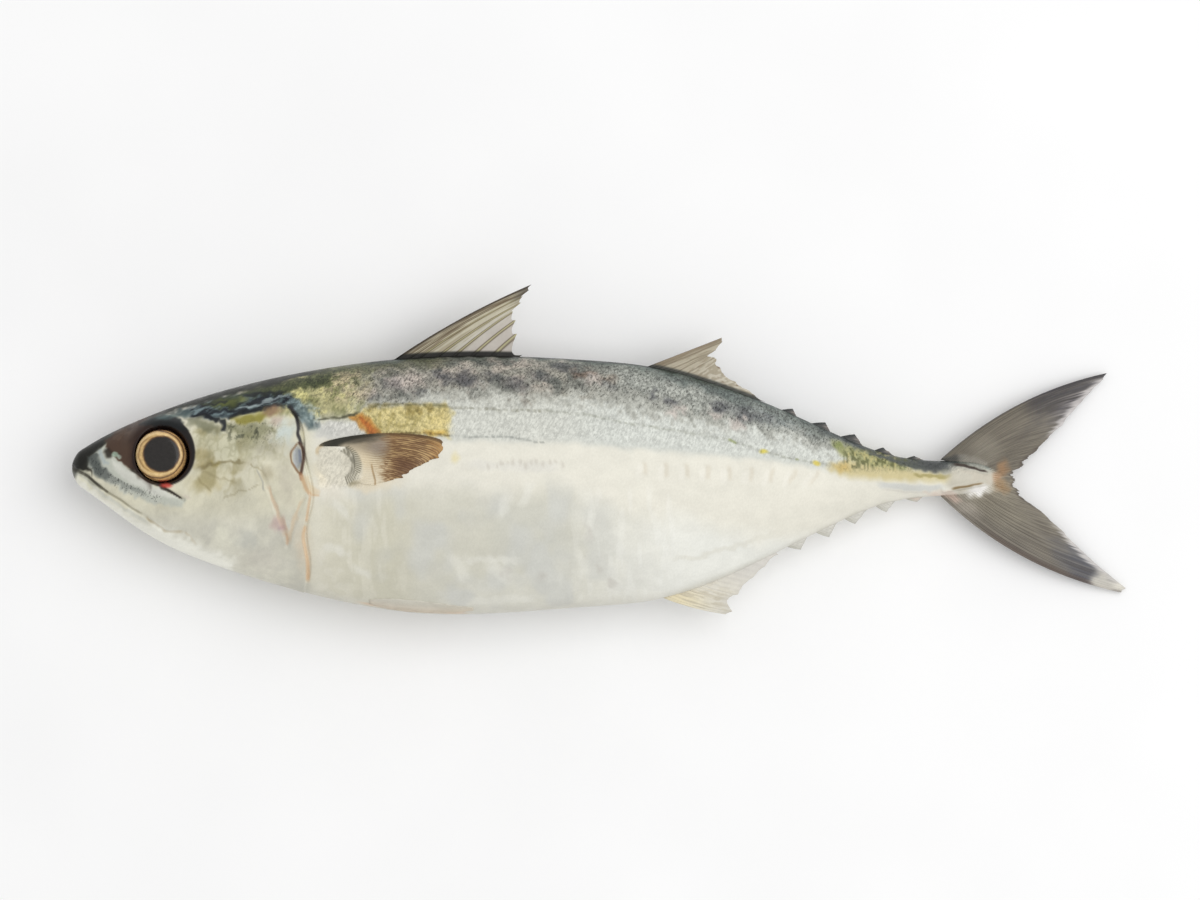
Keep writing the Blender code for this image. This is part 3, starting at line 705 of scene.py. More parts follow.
def paint_shoulder(c):
    u, v, w = c.u, c.v, c.w
    rising = clouds(0.87 * u + 0.5 * w, 0.5 * w - 0.28 * u, 6.0, 61)
    zone = step(u, 236, 268) * step(u + 30 * (rising - 0.5), 378, 338) * step(v, 426, 408)
    c.lay((178, 172, 122), 0.85 * zone)
    c.lay((80, 86, 54), 0.65 * zone * step(clouds(u, w, 12.0, 67), 0.44, 0.62) * step(v, 402, 384))
    c.lay((214, 206, 144), 0.8 * zone * step(rising, 0.5, 0.62) * step(v, 374, 392))
    c.lay((84, 90, 50), 0.38 * zone * step(rising, 0.42, 0.3))
    c.spot((112, 112, 66), (306, 399), (10, 6), 0.5, 25, 0.9, 8)
    c.spot((84, 88, 70), (350, 371), (14, 6), 0.35, -8, 0.9, 8)
    c.spot((190, 176, 160), (346, 390), (8, 5), 0.4, 0, 0.9, 8)
    c.lay((72, 76, 50), 0.6 * zone * step(np.abs(w) + 16 * (rising - 0.5), 44, 22) * step(u, 318, 338))
    rosy = step(u, 318, 338) * step(u, 380, 350) * step(v, 366, 376) * step(v, 406, 396)
    c.lay((184, 168, 140), 0.6 * step(clouds(u, w, 8.0, 65), 0.52, 0.62) * rosy)
    yellow = [
        (352, 414), (384, 406.5), (420, 404.5), (446, 404), (453, 412), (447, 424), (451, 437),
        (405, 436), (380, 436), (366, 426),
    ]
    c.patch((207, 193, 135), yellow, 0.95, 3.0, 6)
    mottle = clouds(0.87 * u + 0.5 * w, 0.5 * w - 0.3 * u, 4.0, 62)
    c.lay((222, 206, 144), 0.6 * step(mottle, 0.5, 0.64) * c.inside((372, 406, 449, 434), 4))
    c.lay((160, 146, 84), 0.5 * step(mottle, 0.46, 0.32) * c.inside((360, 406, 449, 434), 4))
    upper_edge = step(v + 30 * (mottle - 0.5), 412, 405) * c.inside((366, 402, 449, 418), 3)
    c.lay((128, 110, 56), 0.45 * upper_edge)
    dots = cloud(u, v, 2.2, 64)
    c.lay((112, 104, 54), 0.36 * step(dots, 0.62, 0.8) * c.inside((364, 404, 450, 438), 5))
    c.spot((220, 202, 138), (440, 422), (11, 12), 0.6, 0, 0.9, 5)
    c.spot((206, 164, 66), (436, 433), (13, 3.5), 0.7, 0, 0.8, 4)
    orange = [(349, 417), (362, 412.5), (372, 420), (384, 436), (370, 438), (359, 426)]
    c.patch((182, 130, 62), orange, 0.9, 2.0, 2)
    c.stroke((174, 92, 38), [(360, 416), (367, 425), (376, 435)], (3, 8), 0.7, ragged=2, ends=0.1)
    silver = [(317, 424), (345, 420), (356, 425), (366, 436), (330, 439), (312, 437)]
    c.patch((210, 209, 202), silver, 0.9, 3.0, 6)
    dulled = step(clouds(u, w, 7.0, 69), 0.5, 0.64) * c.inside((314, 424, 360, 438), 4)
    c.lay((192, 192, 186), 0.5 * dulled)
    c.stroke((70, 70, 50), [(314, 420), (330, 417.5), (348, 416.5), (362, 411)], 2.2, 0.85, ragged=3)
    c.spot((226, 212, 158), (455, 458), (5, 6), 0.6, 0, 0.8, 3)
    c.spot((222, 205, 172), (372, 476), (30, 12), 0.5, 8, 0.9, 8)
    c.spot((236, 228, 210), (330, 482), (14, 20), 0.5, -20, 0.8, 6)
    c.spot((226, 214, 182), (322, 474), (9, 14), 0.5, -30, 0.9, 5)
    paint_fin_base(c)


def paint_fin_base(c):
    """The white lobe that the pectoral fin grows from, with the short dark roots of its rays."""
    lobe = [
        (316, 452), (320, 446), (334, 447), (350, 450), (362, 462), (363, 476), (354, 488), (330, 484),
        (318, 470),
    ]
    c.patch((213, 208, 191), lobe, 0.9, 2.5, 3)
    behind = [(352, 488), (362, 474), (372, 470), (380, 478), (386, 482), (366, 494)]
    c.patch((223, 213, 190), behind, 0.85, 4.0, 4)
    c.spot((186, 181, 164), (348, 460), (9, 10), 0.6, 0, 0.9, 5)
    c.stroke((194, 168, 126), [(318, 456), (318, 449), (325, 444), (334, 441)], 3.4, 0.55)
    lobe_edge = [(340, 447), (352, 452), (359, 462), (358, 474), (352, 483)]
    c.stroke((196, 190, 170), lobe_edge, (5, 9), 0.4, ragged=3)
    c.spot((140, 130, 100), (354, 484), (6, 4), 0.7, -30, 0.9, 4)
    for k in range(22):
        turn = math.radians(-66 + 5.4 * k)
        start = (333 + 18 * math.cos(turn), 465 + 14 * math.sin(turn))
        end = (333 + 30 * math.cos(turn + 0.2), 465 + 24 * math.sin(turn + 0.2))
        c.stroke((74, 70, 54), [start, end], 1.2, 0.55, ends=0.15)


def dashes(c, colour, line, length, width, amount, seed):
    """A row of short marks along a line."""
    rng = np.random.default_rng(seed)
    line = smooth_line(line, 12)
    lengths = np.concatenate([[0], np.cumsum(np.linalg.norm(np.diff(line, axis=0), axis=1))])
    at = 0.0
    while at < lengths[-1]:
        run = length * rng.uniform(0.5, 1.6)
        stops = (at, min(at + run, lengths[-1]))
        ends = [[np.interp(s, lengths, line[:, k]) for k in (0, 1)] for s in stops]
        shift = rng.uniform(-0.7, 0.7)
        ends = [(p[0], p[1] + shift) for p in ends]
        if ends[1][0] - ends[0][0] > 0.3:
            c.stroke(colour, ends, width * rng.uniform(0.7, 1.3), amount * rng.uniform(0.4, 1.0), ends=0)
        at += run + length * rng.uniform(0.7, 2.0)


LATERAL = [
    (548, 411), (576, 414), (594, 416), (619, 421.5), (645, 426), (690, 433), (732, 441), (764, 452),
    (797, 459.5), (830, 465),
]


def paint_side_lines(c):
    dashes(c, (86, 84, 52), [(372, 406), (400, 404.5), (449, 405.5)], 2.0, 2.6, 0.6, 7)
    dashes(c, (94, 74, 30), [(378, 434), (410, 433), (449, 435)], 2.0, 2.4, 0.8, 9)
    dashes(c, (112, 110, 92), [(450, 407), (490, 409.5), (548, 411)], 2.4, 2.2, 0.55, 1)
    lower_row = [(450, 436), (462, 437), (504, 436.5), (525, 440), (545, 442)]
    dashes(c, (104, 108, 104), lower_row, 2.6, 2.0, 0.55, 2)
    dashes(c, (132, 134, 118), LATERAL, 2.6, 2.2, 0.5, 3)
    dashes(c, (172, 174, 166), LATERAL, 10.0, 5.0, 0.4, 4)
    c.stroke((150, 158, 110), [(728, 439), (737, 443.5)], 2.4, 0.8)
    c.spot((206, 192, 84), (763.5, 451.8), (4.6, 2.4), 0.95, 0, 0.6, 1.5)
    c.spot((150, 158, 110), (797, 459.4), (2, 1.2), 0.7)
    c.spot((208, 190, 88), (817, 463.8), (4.6, 2.8), 0.95, 20, 0.6, 1.5)
    c.stroke((216, 214, 206), [(462, 464), (520, 467), (566, 467)], 9.0, 0.5, ragged=4)
    rng = np.random.default_rng(8)
    for place in np.arange(490, 568, 6.0):
        at = (place + rng.uniform(-1.5, 1.5), 464 + rng.uniform(-3, 3))
        c.spot((196, 190, 178), at, (1.8, rng.uniform(2.0, 5.0)), 0.6, 0, 0.9, 3)
    for place in np.arange(644, 830, 21.2):
        lean = 0.1 * max(place - 740, 0)
        row = 468 + 0.055 * (place - 644)
        ends = [(place + lean, row - 9), (place + 1.0, row), (place - lean, row + 10)]
        c.stroke((212, 204, 186), ends, 4.5, 0.55, ragged=2, ends=0.3)
        c.stroke((234, 231, 220), [(a - 6.0, b + 3) for a, b in ends], 6.0, 0.5, ragged=3, ends=0.3)


def paint_tail_stalk(c):
    u, v, w = c.u, c.v, c.w
    ticks = clouds(u, w * 0.4, 1.9, 81, 2)
    gold = [
        (830, 464), (858, 460), (905, 468), (954, 474), (954, 481), (900, 481), (850, 478), (832, 471)
    ]
    c.patch((198, 184, 132), gold, 0.85, 5.0, 3)
    c.spot((200, 168, 92), (842, 467), (12, 5), 0.6, 0, 0.9, 6)
    green = [(832, 441), (850, 446), (880, 455), (908, 464), (905, 470), (866, 466), (842, 456)]
    c.patch((158, 158, 108), green, 0.85, 4.0, 4)
    c.spot((132, 142, 84), (838, 446), (7, 4), 0.7, 20, 0.9, 5)
    zone = step(u, 836, 850) * step(u, 930, 905) * step(v, 474, 464) * step(v, 446, 453)
    c.lay((92, 94, 58), 0.75 * step(ticks, 0.5, 0.62) * zone)
    c.lay((206, 190, 128), 0.5 * step(ticks, 0.44, 0.3) * zone)
    ridge = [(866, 452), (895, 461), (925, 467), (950, 466)]
    c.stroke((84, 88, 84), ridge, (3, 7), 0.9, ragged=3, ends=0.1)
    c.spot((74, 76, 76), (936, 466), (18, 6.5), 0.9, 4, 0.8, 5)
    c.stroke((128, 118, 60), [(912, 474), (935, 476), (955, 474)], 3.5, 0.5, ragged=4)
    c.stroke((202, 203, 198), [(874, 484), (900, 487), (925, 488), (948, 487)], 6.0, 0.85, ragged=3)
    c.stroke((206, 202, 192), [(880, 489), (905, 492), (935, 492)], 2.0, 0.5, ragged=2)
    c.patch((214, 194, 180), [(925, 493), (948, 491), (966, 497), (975, 506), (950, 500)], 0.7, 3.0, 3)


def paint_tail_root(c):
    """The pale end of the tail stalk and the marks where the tail fin starts, on both surfaces."""
    pale = [
        (950, 466), (968, 466), (994, 473), (1000, 479), (996, 490), (978, 497), (960, 494), (946, 486)
    ]
    c.patch((194, 189, 174), pale, 0.92, 5.0, 4)
    streaks = step(clouds(c.u * 0.5, c.v, 4.0, 89, 2), 0.5, 0.62)
    c.lay((196, 188, 172), 0.5 * streaks * c.inside((955, 466, 1006, 494), 8))
    c.stroke((170, 166, 156), [(956, 458), (972, 461), (990, 467)], 8.0, 0.6, ragged=3)
    c.stroke((58, 48, 42), [(951, 464), (966, 466), (990, 473)], (3.2, 1.6), 0.9, ragged=1)
    c.stroke((120, 98, 62), [(950, 489.5), (962, 487), (985, 483)], (2.8, 1.6), 0.85, ragged=1)
    c.spot((240, 239, 237), (979, 491), (14, 6), 0.85, -8, 0.8, 5)
    c.spot((186, 138, 94), (1003, 468), (7, 10), 0.55, 15, 0.9, 6)
    c.spot((180, 138, 92), (1003, 486), (8, 7), 0.5, -15, 0.9, 6)
    c.spot((176, 128, 88), (998, 478), (5, 6), 0.5, 0, 0.9, 5)


CHEEK = [
    # place, radii, colour, amount
    ((232, 448), (26, 15), (200, 198, 168), 0.85),
    ((207, 436), (14, 18), (172, 168, 134), 0.75),
    ((203, 456), (8, 12), (168, 156, 114), 0.8),
    ((210, 464), (15, 5), (150, 136, 92), 0.75),
    ((214, 463), (6, 3), (206, 194, 110), 0.8),
    ((210, 482), (20, 11), (188, 177, 138), 0.75),
    ((226, 470), (20, 5), (182, 174, 140), 0.6),
    ((250, 440), (17, 9), (166, 164, 130), 0.7),
    ((268, 448), (14, 12), (168, 164, 142), 0.75),
    ((222, 536), (11, 13), (220, 218, 200), 0.85),
    ((245, 500), (20, 12), (208, 205, 186), 0.7),
    ((248, 541), (14, 10), (192, 192, 182), 0.75),
    ((262, 560), (24, 14), (201, 197, 184), 0.6),
    ((284, 432), (13, 12), (198, 208, 204), 0.85),
    ((292, 447), (6, 9), (202, 206, 198), 0.6),
    ((288, 484), (10, 22), (204, 198, 180), 0.7),
    ((258, 462), (10, 7), (196, 192, 172), 0.5),
]
# Creases of the cheek: points, width at the start and at the end, amount.
CHEEK_LINES = [
    ([(196, 470), (206, 466), (220, 462), (234, 461), (248, 464)], (5.0, 1.6), 0.6),
    ([(198, 470), (212, 474), (226, 480), (240, 484)], (3.2, 1.6), 0.25),
    ([(196, 476), (204, 484), (212, 492)], (3.2, 1.6), 0.3),
    ([(250, 464), (262, 470), (268, 478)], (2.0, 1.6), 0.35),
    ([(222, 500), (236, 492), (250, 488), (262, 484)], (2.0, 1.6), 0.25),
]


def paint_head(c):
    u, v, w = c.u, c.v, c.w
    head = step(u, 322, 300)
    c.lay((212, 208, 186), head * step(v, 412, 424))
    c.lay((210, 208, 194), 0.8 * head * step(v, 500, 530))
    c.lay((196, 194, 182), 0.5 * head * step(clouds(u, w, 26.0, 93), 0.48, 0.66) * step(v, 490, 530))
    for place, radii, colour, amount in CHEEK:
        c.spot(colour, place, radii, amount, 0, 0.9, 9)
    stain = clouds(u, w, 15.0, 95, 4)
    near_eye = step(u, 190, 198) * step(u, 262, 226) * step(v, 424, 432) * step(v, 506, 478)
    c.lay((150, 140, 98), 0.6 * near_eye * step(stain, 0.46, 0.62))
    c.lay((206, 202, 176), 0.5 * near_eye * step(stain, 0.46, 0.34))
    webs = np.abs(clouds(u, w, 9.0, 97) - 0.5)
    veiled = step(u, 190, 200) * step(u, 300, 270) * step(v, 416, 424) * step(v, 500, 440)
    c.lay((146, 142, 108), 0.3 * veiled * step(webs, 0.09, 0.01))
    for line, width, amount in CHEEK_LINES:
        c.stroke((124, 112, 78), line, width, amount, ragged=4)
    c.speck = np.maximum(c.speck, 0.55 * veiled * step(v, 462, 436) * step(u, 226, 240))
    uneven = 0.14 * (clouds(u, w, 22.0, 109, 4) - 0.5) + 0.05 * (clouds(u, w, 3.5, 111, 2) - 0.5)
    c.rgb *= (1 + head * uneven)[:, None]
    paint_head_top(c)
    paint_jaws(c)
    jaw = [
        (76, 474), (110, 500), (144, 522), (190, 540), (236, 560), (230, 580), (150, 548), (100, 518),
        (72, 486),
    ]
    c.patch((246, 245, 233), jaw, 0.88, 7.0, 6)
    paint_eye_rim(c)
    paint_gill_cover(c)


BLUE_BAND = [
    (176, 414), (200, 402), (240, 394), (278, 391), (293, 396), (304, 405), (313, 416), (317, 426),
    (308, 429), (300, 419), (286, 405), (262, 408), (238, 414), (222, 420), (196, 416),
]
OLIVE_TOP = [
    (196, 404), (225, 396), (262, 386), (300, 378), (330, 372), (330, 384), (290, 392), (246, 398),
    (232, 408), (206, 408),
]
# Black lines over the blue band: points, width, amount.
HEAD_STROKES = [
    ([(190, 415), (200, 415.5), (209, 416), (217, 420), (222, 424)], 3.4, 0.9),
    ([(222, 420), (224, 426), (223, 432)], 5.0, 0.85),
    ([(224, 420), (234, 415), (248, 410.5), (273, 407), (288, 405.5)], 4.0, 0.85),
    ([(205, 412), (222, 411), (238, 410), (252, 404), (272, 401)], 2.6, 0.7),
    ([(200, 408), (214, 404), (230, 400)], 2.6, 0.6),
    ([(240, 398), (262, 394), (284, 391)], 2.4, 0.6),
]


def paint_head_top(c):
    u, v, w = c.u, c.v, c.w
    x, _ = to_mm((u, v))
    below = v - (SNOUT_PX[1] - back_height(x) / PX)
    streaks = clouds(u * 0.8 + 1.0 * w, w * 1.8, 7.0, 101)
    band = c.inside((184, 384, 322, 430), 10)
    c.patch((66, 80, 84), BLUE_BAND, 0.95, 3.0, 4)
    low = across(u, [(180, 418), (240, 414), (290, 406), (304, 426), (320, 428)])
    high = across(u, [(180, 406), (240, 394), (284, 391), (300, 402), (313, 415), (322, 428)])
    band = band * step(v, high - 3, high + 3) * step(v, low + 3, low - 3)
    c.lay((18, 24, 32), 0.9 * step(streaks, 0.53, 0.62) * band)
    c.lay((140, 158, 162), 0.7 * step(streaks, 0.42, 0.30) * band)
    band_end = [(294, 402), (304, 407), (312, 417), (316, 427), (308, 427), (301, 416)]
    c.patch((122, 136, 130), band_end, 0.42, 3.0, 5)
    c.spot((130, 146, 144), (310, 415), (15, 10), 0.5, 58, 0.9, 10)
    flakes = cloud(u, v, 2.6, 103)
    hook = c.inside((298, 402, 324, 431), 6) * step(v - u, 120, 112)
    c.lay((172, 186, 184), 0.5 * hook * step(flakes, 0.58, 0.76))
    c.lay((74, 92, 96), 0.45 * hook * step(flakes, 0.42, 0.26))
    c.patch((44, 52, 28), OLIVE_TOP, 0.75, 3.0, 6)
    c.spot((92, 98, 44), (225, 403), (16, 5.2), 0.85, -6, 0.8, 5)
    c.spot((134, 136, 72), (243, 400), (5, 3.5), 0.6, 0, 0.8, 4)
    for line, width, amount in HEAD_STROKES:
        c.stroke((14, 18, 24), line, width, amount, ragged=4)
    # A painted highlight: a thin pale blue-grey glint along the dark band on top of the head.
    painted_glint = [(230, 409), (250, 406.5), (270, 400), (284, 396), (294, 400)]
    c.stroke((182, 194, 194), painted_glint, 2.2, 0.6, ragged=4)
    c.patch((98, 100, 78), [(188, 417), (216, 421), (220, 432), (204, 432), (190, 424)], 0.6, 4.0, 7)
    golden = [(232, 417), (250, 413), (268, 411), (262, 421), (244, 424), (236, 422)]
    c.patch((136, 128, 50), golden, 0.85, 3.0, 6)
    olive = [(224, 422), (238, 424), (264, 423), (276, 430), (252, 438), (230, 434)]
    c.patch((116, 116, 82), olive, 0.6, 4.0, 8)
    dark_dots = step(clouds(u, w, 4.5, 107), 0.58, 0.68) * c.inside((222, 416, 276, 446), 12)
    c.lay((70, 72, 56), 0.7 * dark_dots)
    c.spot((140, 110, 88), (272, 411), (10, 5), 0.8, -10, 0.8, 5)
    c.spot((192, 172, 160), (277, 420), (8, 5), 0.6, 0, 0.8, 5)
    lumps = 5 * (clouds(u, w, 9.0, 113) - 0.5)
    from_here = across(u, [(72, 30), (90, 14), (120, 7), (240, 7), (272, 11), (300, 6)])
    all_dark = across(u, [(72, 22), (90, 8), (120, 3), (272, 4), (300, 2)])
    c.lay((24, 26, 20), 0.9 * step(below + lumps, from_here, all_dark) * step(u, 340, 300))
    snout = [
        (68, 472), (70, 458), (80, 448), (100, 438), (106, 440), (98, 450), (92, 458), (92, 474),
        (82, 471),
    ]
    c.patch((20, 20, 14), snout, 0.95, 2.5, 5)
    c.speck = np.maximum(c.speck, 0.5 * c.inside((236, 370, 330, 400), 14))


def paint_jaws(c):
    u, v = c.u, c.v
    side = [
        (98, 447), (105, 444), (116, 457), (131, 470), (158, 487), (186, 500), (182, 508), (150, 503),
        (120, 490), (100, 476), (88, 468), (90, 458),
    ]
    c.patch((188, 192, 182), side, 0.85, 2.5, 4)
    bright = [(112, 460), (130, 471), (158, 487.5), (180, 498), (160, 497), (130, 483), (114, 470)]
    c.patch((214, 214, 204), bright, 0.8, 2.0, 3)
    snout_shade = [(92, 452), (94, 462), (102, 472), (112, 480)]
    c.stroke((66, 72, 70), snout_shade, (12, 6), 0.8, ragged=7, ends=0.12)
    jaw_shade = [(100, 470), (116, 482), (134, 490), (150, 496)]
    c.stroke((128, 132, 126), jaw_shade, (8, 3), 0.6, ragged=6, ends=0.12)
    c.stroke((168, 178, 178), [(98, 447), (101, 456), (108, 466)], 4.0, 0.7, ragged=4)
    gap, along = line_distance(np.where(u < 200, u, 2000.0), v, JAW_SPECKS)
    c.speck = np.maximum(c.speck, 0.9 * step(gap, 7.0, 3.0) * step(along, 1.0, 0.8))
    c.speck = np.maximum(c.speck, 0.22 * c.inside((190, 480, 268, 520), 22))
    c.stroke((120, 122, 108), [(76, 471), (90, 479), (104, 489)], (7, 4), 0.6, ragged=3, ends=0.1)
    c.stroke((46, 43, 34), MOUTH[:5], (2.8, 2.0), 0.75, ends=0.05)
    c.stroke((134, 128, 106), MOUTH[3:], (2.0, 2.0), 0.55, ends=0.1)
    c.stroke((176, 162, 132), JAW_HINGE, (2.0, 3.0), 0.75, ragged=2)
    c.stroke((182, 168, 140), [(184, 531), (192, 539), (198, 546)], 2.4, 0.4, ragged=2)
    under_mouth = [(80, 477), (96, 488), (112, 500), (132, 513), (152, 524)]
    c.stroke((192, 194, 184), under_mouth, 3.0, 0.6, ragged=3)
    c.spot((70, 70, 62), (72.5, 470.5), (2.4, 4.5), 0.85, 0, 0.5)
    c.stroke((222, 217, 182), [(76, 476), (84, 481), (94, 490)], 3.0, 0.7, ragged=1)


def paint_eye_rim(c):
    u, v = c.u, c.v
    bridge = [
        (106, 440), (114, 433), (126, 426), (140, 418), (160, 414), (176, 420), (170, 480), (166, 489),
        (146, 478), (129, 468), (118, 460), (110, 452), (105, 447),
    ]
    c.patch((68, 48, 36), bridge, 0.95, 1.6, 3)
    front = [(134, 432), (142, 424), (152, 420), (150, 486), (140, 477), (131, 468), (130, 450)]
    c.patch((36, 20, 14), front, 0.7, 5.0, 4)
    c.stroke((96, 78, 64), [(112, 440), (120, 434), (130, 430)], 5.0, 0.5, ragged=5)
    c.spot((20, 14, 8), (108.5, 453), (6, 4.5), 0.8, 20, 0.8, 5)
    c.spot((152, 172, 154), (116.0, 455), (4.4, 3.0), 0.9, 15, 0.5, 3)
    c.spot((176, 190, 176), (120.0, 457), (2.4, 2.4), 0.8, 0, 0.6, 2)
    over = np.hypot((u - 164.5) / 31.0, (v - 454) / 37.0)
    wide = np.where(v < 454, over, np.hypot((u - 164.5) / 30.8, (v - 454) / 31.5))
    c.lay((14, 9, 8), 0.96 * step(wide, 1.04, 0.97) * step(u, 140, 166))
    c.lay((30, 16, 12), 0.9 * step(np.hypot(u - 162.65, v - 455.8), 31.0, 29.5))
    brow = [
        (140, 424), (150, 417), (166, 415), (180, 419), (188, 430), (180, 430), (166, 425), (150, 425)
    ]
    c.patch((12, 18, 20), brow, 0.95, 2.5, 3)
    # A teal painted highlight along the dark brow over the eye.
    c.spot((84, 112, 110), (165, 417), (14, 3.0), 0.7, -2, 0.9, 4)
    c.spot((66, 84, 84), (182, 413), (13, 4), 0.6, 0, 0.9, 6)
    c.stroke((60, 52, 44), EYE_CREASE, (2.4, 1.8), 0.9, ends=0.08)
    c.stroke((46, 40, 34), [(160, 487), (170, 491), (183, 499)], (3.6, 1.4), 0.8, ends=0.1)
    c.spot((204, 76, 64), (166.5, 485.6), (7, 2.6), 0.9, 0, 0.6, 1)
    c.spot((206, 196, 182), (187, 497), (5, 2), 0.6, 30, 0.8, 1)


def paint_gill_cover(c):
    c.spot((180, 172, 146), (267, 475), (9, 9), 0.75, 0, 0.9, 5)
    c.stroke((160, 160, 150), [(256, 468), (262, 480), (266, 492)], 1.8, 0.6, ragged=3)
    c.stroke((204, 178, 150), PREOPERCLE[1:], (2.4, 6.0), 0.65, ragged=4)
    c.stroke((208, 186, 156), INNER_GILL, (2.4, 6.0), 0.6, ragged=4)
    c.stroke((196, 158, 124), [(286, 532), (288, 540), (287, 546)], 2.4, 0.5, ragged=1)
    c.spot((190, 160, 156), (277, 522), (7, 8), 0.6, 20, 0.9, 6)
    c.spot((170, 136, 142), (281, 529), (4, 4), 0.5, 0, 0.9, 5)
    c.stroke((44, 42, 44), GILL_SLIT_LINE[:5], (4.4, 3.0), 0.9, ragged=2, ends=0.06)
    c.spot((158, 162, 162), (297.8, 458), (4.6, 12.5), 0.95, 0, 0.4)
    c.stroke((124, 132, 148), [(300, 448), (301, 464)], 3.2, 0.7)
    c.stroke((186, 188, 190), [(295.5, 450), (295, 460), (298, 468)], 2.4, 0.5)
    lens_rear = [(298.5, 441), (303, 448), (304, 458), (302.5, 468), (301, 475)]
    c.stroke((74, 52, 42), lens_rear, 3.0, 0.9, ends=0.05)
    lens_front = [(298.5, 443), (292, 451), (291.5, 460), (296, 469), (301, 475)]
    c.stroke((128, 96, 66), lens_front, 2.2, 0.8, ragged=1.5, ends=0.05)
    c.stroke((150, 96, 62), [(301, 474), (302, 479)], 3.6, 0.6, ends=0)
    c.stroke((196, 160, 124), GILL_SLIT_LINE[7:10], 3.4, 0.8, ends=0.05)
    c.stroke((206, 174, 140), GILL_SLIT_LINE[9:12], 2.6, 0.7, ends=0.1)
    c.stroke((206, 168, 128), GILL_SLIT_LINE[11:], (3.0, 4.0), 0.7, ends=0.1)
    c.stroke((208, 180, 148), [(307, 489), (312, 495), (321, 495)], 2.4, 0.7)
    c.stroke((210, 184, 144), [(303, 476), (310, 488), (320, 494)], 8.0, 0.45, ragged=4)
    c.spot((222, 202, 174), (303, 545), (9, 26), 0.45, 0, 0.9, 5)


# The skin is made in two lengths, which meet behind the gill cover.
HEAD_END = 62.0
NOSE_RINGS = 12
HEAD_RINGS = 398
TRUNK_RINGS = 400
RING_POINTS = (165, 75)
LEAST_LEVEL = 0.03  # how far every visible point stays over the floor


def add_skin(name, x, upper, lower):
    """One length of the skin, in rings of so many points on the upper and the lower side."""
    share = np.arange(upper) / upper
    upper = 0.5 * (math.pi * share + np.arccos(1 - 2 * share))
    lower = np.linspace(math.pi, 2 * math.pi, lower, endpoint=False)
    angle = np.concatenate([upper, lower])[None, :]
    x = x[:, None]
    plain = skin_point(x, angle)
    u, v = to_px(plain[..., 0], plain[..., 1])
    height = relief(u, v) * step(np.abs(np.sin(angle)), 0.0, 0.25)
    points = skin_point(x, angle, height)
    middle = middle_level(points[..., 0])
    points[..., 2] = middle + (points[..., 2] - middle) * (1 - 0.7 * step(x, 190.5, 197.0))
    points[..., 2] = np.maximum(points[..., 2], LEAST_LEVEL)
    rows, columns = points.shape[:2]
    count = rows * columns
    faces = grid_faces(rows, columns, wrap=True)
    faces += [list(range(count, count + columns)), list(range(count + columns, count + 2 * columns))]
    points = np.concatenate([points.reshape(-1, 3), points[0], points[-1]])
    piece = make_piece(name, points, faces, skin_material(name, 0.42, 0.1, 0.25))
    u, v = to_px(points[:, 0], points[:, 1])
    _, up, _, half = section(x)
    around = ((angle + math.pi) % (2 * math.pi) - math.pi) * 0.5 * (up + half) / PX
    around = np.concatenate([around.ravel(), around[0], around[-1]])
    paint_skin(u, v, around).write(piece.data)
    return piece


# Rays as in the CAD model: where each is rooted on the back or belly, then its tip.
SPINY_DORSAL = [
    (68.6, 97.5, 39.4), (71.8, 97.0, 38.2), (73.8, 95.6, 36.9), (77.7, 95.2, 35.5), (81.1, 93.6, 33.8),
    (84.9, 94.2, 31.9), (89.2, 94.4, 29.0), (94.8, 95.4, 24.4),
]
SOFT_DORSAL = [
    (122.0, 137.8, 28.1), (124.2, 137.9, 27.2), (126.2, 136.6, 25.5), (128.0, 135.1, 24.5),
    (129.8, 136.6, 24.1), (132.0, 136.9, 22.9), (134.0, 138.6, 20.7), (137.2, 140.8, 18.8),
    (141.0, 143.7, 16.8), (145.6, 147.0, 14.4),
]
ANAL = [
    (125.6, 138.6, -30.6), (128.0, 140.0, -30.0), (130.4, 138.9, -27.7), (132.2, 139.4, -27.2),
    (134.2, 141.2, -26.4), (137.0, 142.6, -24.5), (140.6, 144.8, -22.7), (145.0, 147.1, -20.6),
    (149.2, 149.6, -18.0),
]
# Finlets: where the root starts and ends, then the tip.
BACK_FINLETS = [
    (148.9, 153.6, 152.8, 13.0), (155.2, 160.8, 159.7, 10.1), (161.6, 167.6, 165.9, 7.6),
    (169.0, 174.5, 171.9, 4.8), (175.4, 180.9, 178.5, 3.0),
]
BELLY_FINLETS = [
    (150.4, 155.9, 154.5, -16.9), (156.7, 162.2, 160.5, -14.3), (162.9, 168.6, 166.0, -11.5),
    (169.4, 174.6, 172.6, -9.0), (174.9, 180.4, 179.1, -6.8),
]
FINLET_BOW = 0.15
# The tail's rays start on one curve, so only their tips are listed, from the upper lobe down.
TAIL_TIPS = [
    (219.6, 20.7), (218.6, 19.2), (214.3, 14.6), (210.0, 9.6), (206.8, 6.6), (204.5, 4.1), (202.2, 1.4),
    (200.3, -0.8), (200.7, -3.6), (201.8, -5.3), (206.0, -9.1), (210.4, -13.3), (214.8, -17.7),
    (220.0, -22.3), (223.6, -25.2), (222.4, -26.0),
]
TAIL_ROOT = (184.0, 2.2, -5.5)
TAIL_ROOT_BULGE = 9.0
TAIL_BOWS = (2.7, 3.1)
PECTORAL_SHOULDER = (55.6, 1.2)
PECTORAL_RADIUS = 4.4
PECTORAL_FAN = (math.radians(58.0), math.radians(-56.0))
PECTORAL_LEAD = (52.4, 5.0)
PECTORAL_TIPS = [
    (78.9, 5.9), (79.0, 4.2), (78.0, 2.6), (76.0, 1.7), (74.0, 0.9), (72.2, -0.4), (70.3, -1.7),
    (67.6, -2.4), (64.6, -3.2),
]
PECTORAL_BOW = 2.2
PELVIC_REACH = (63.0, 85.0)
PELVIC_ANGLES = (math.radians(155.0), math.radians(172.0))
FIN_SUNK = 1.6


def even_hump(reach):
    return 4 * reach * (1 - reach)


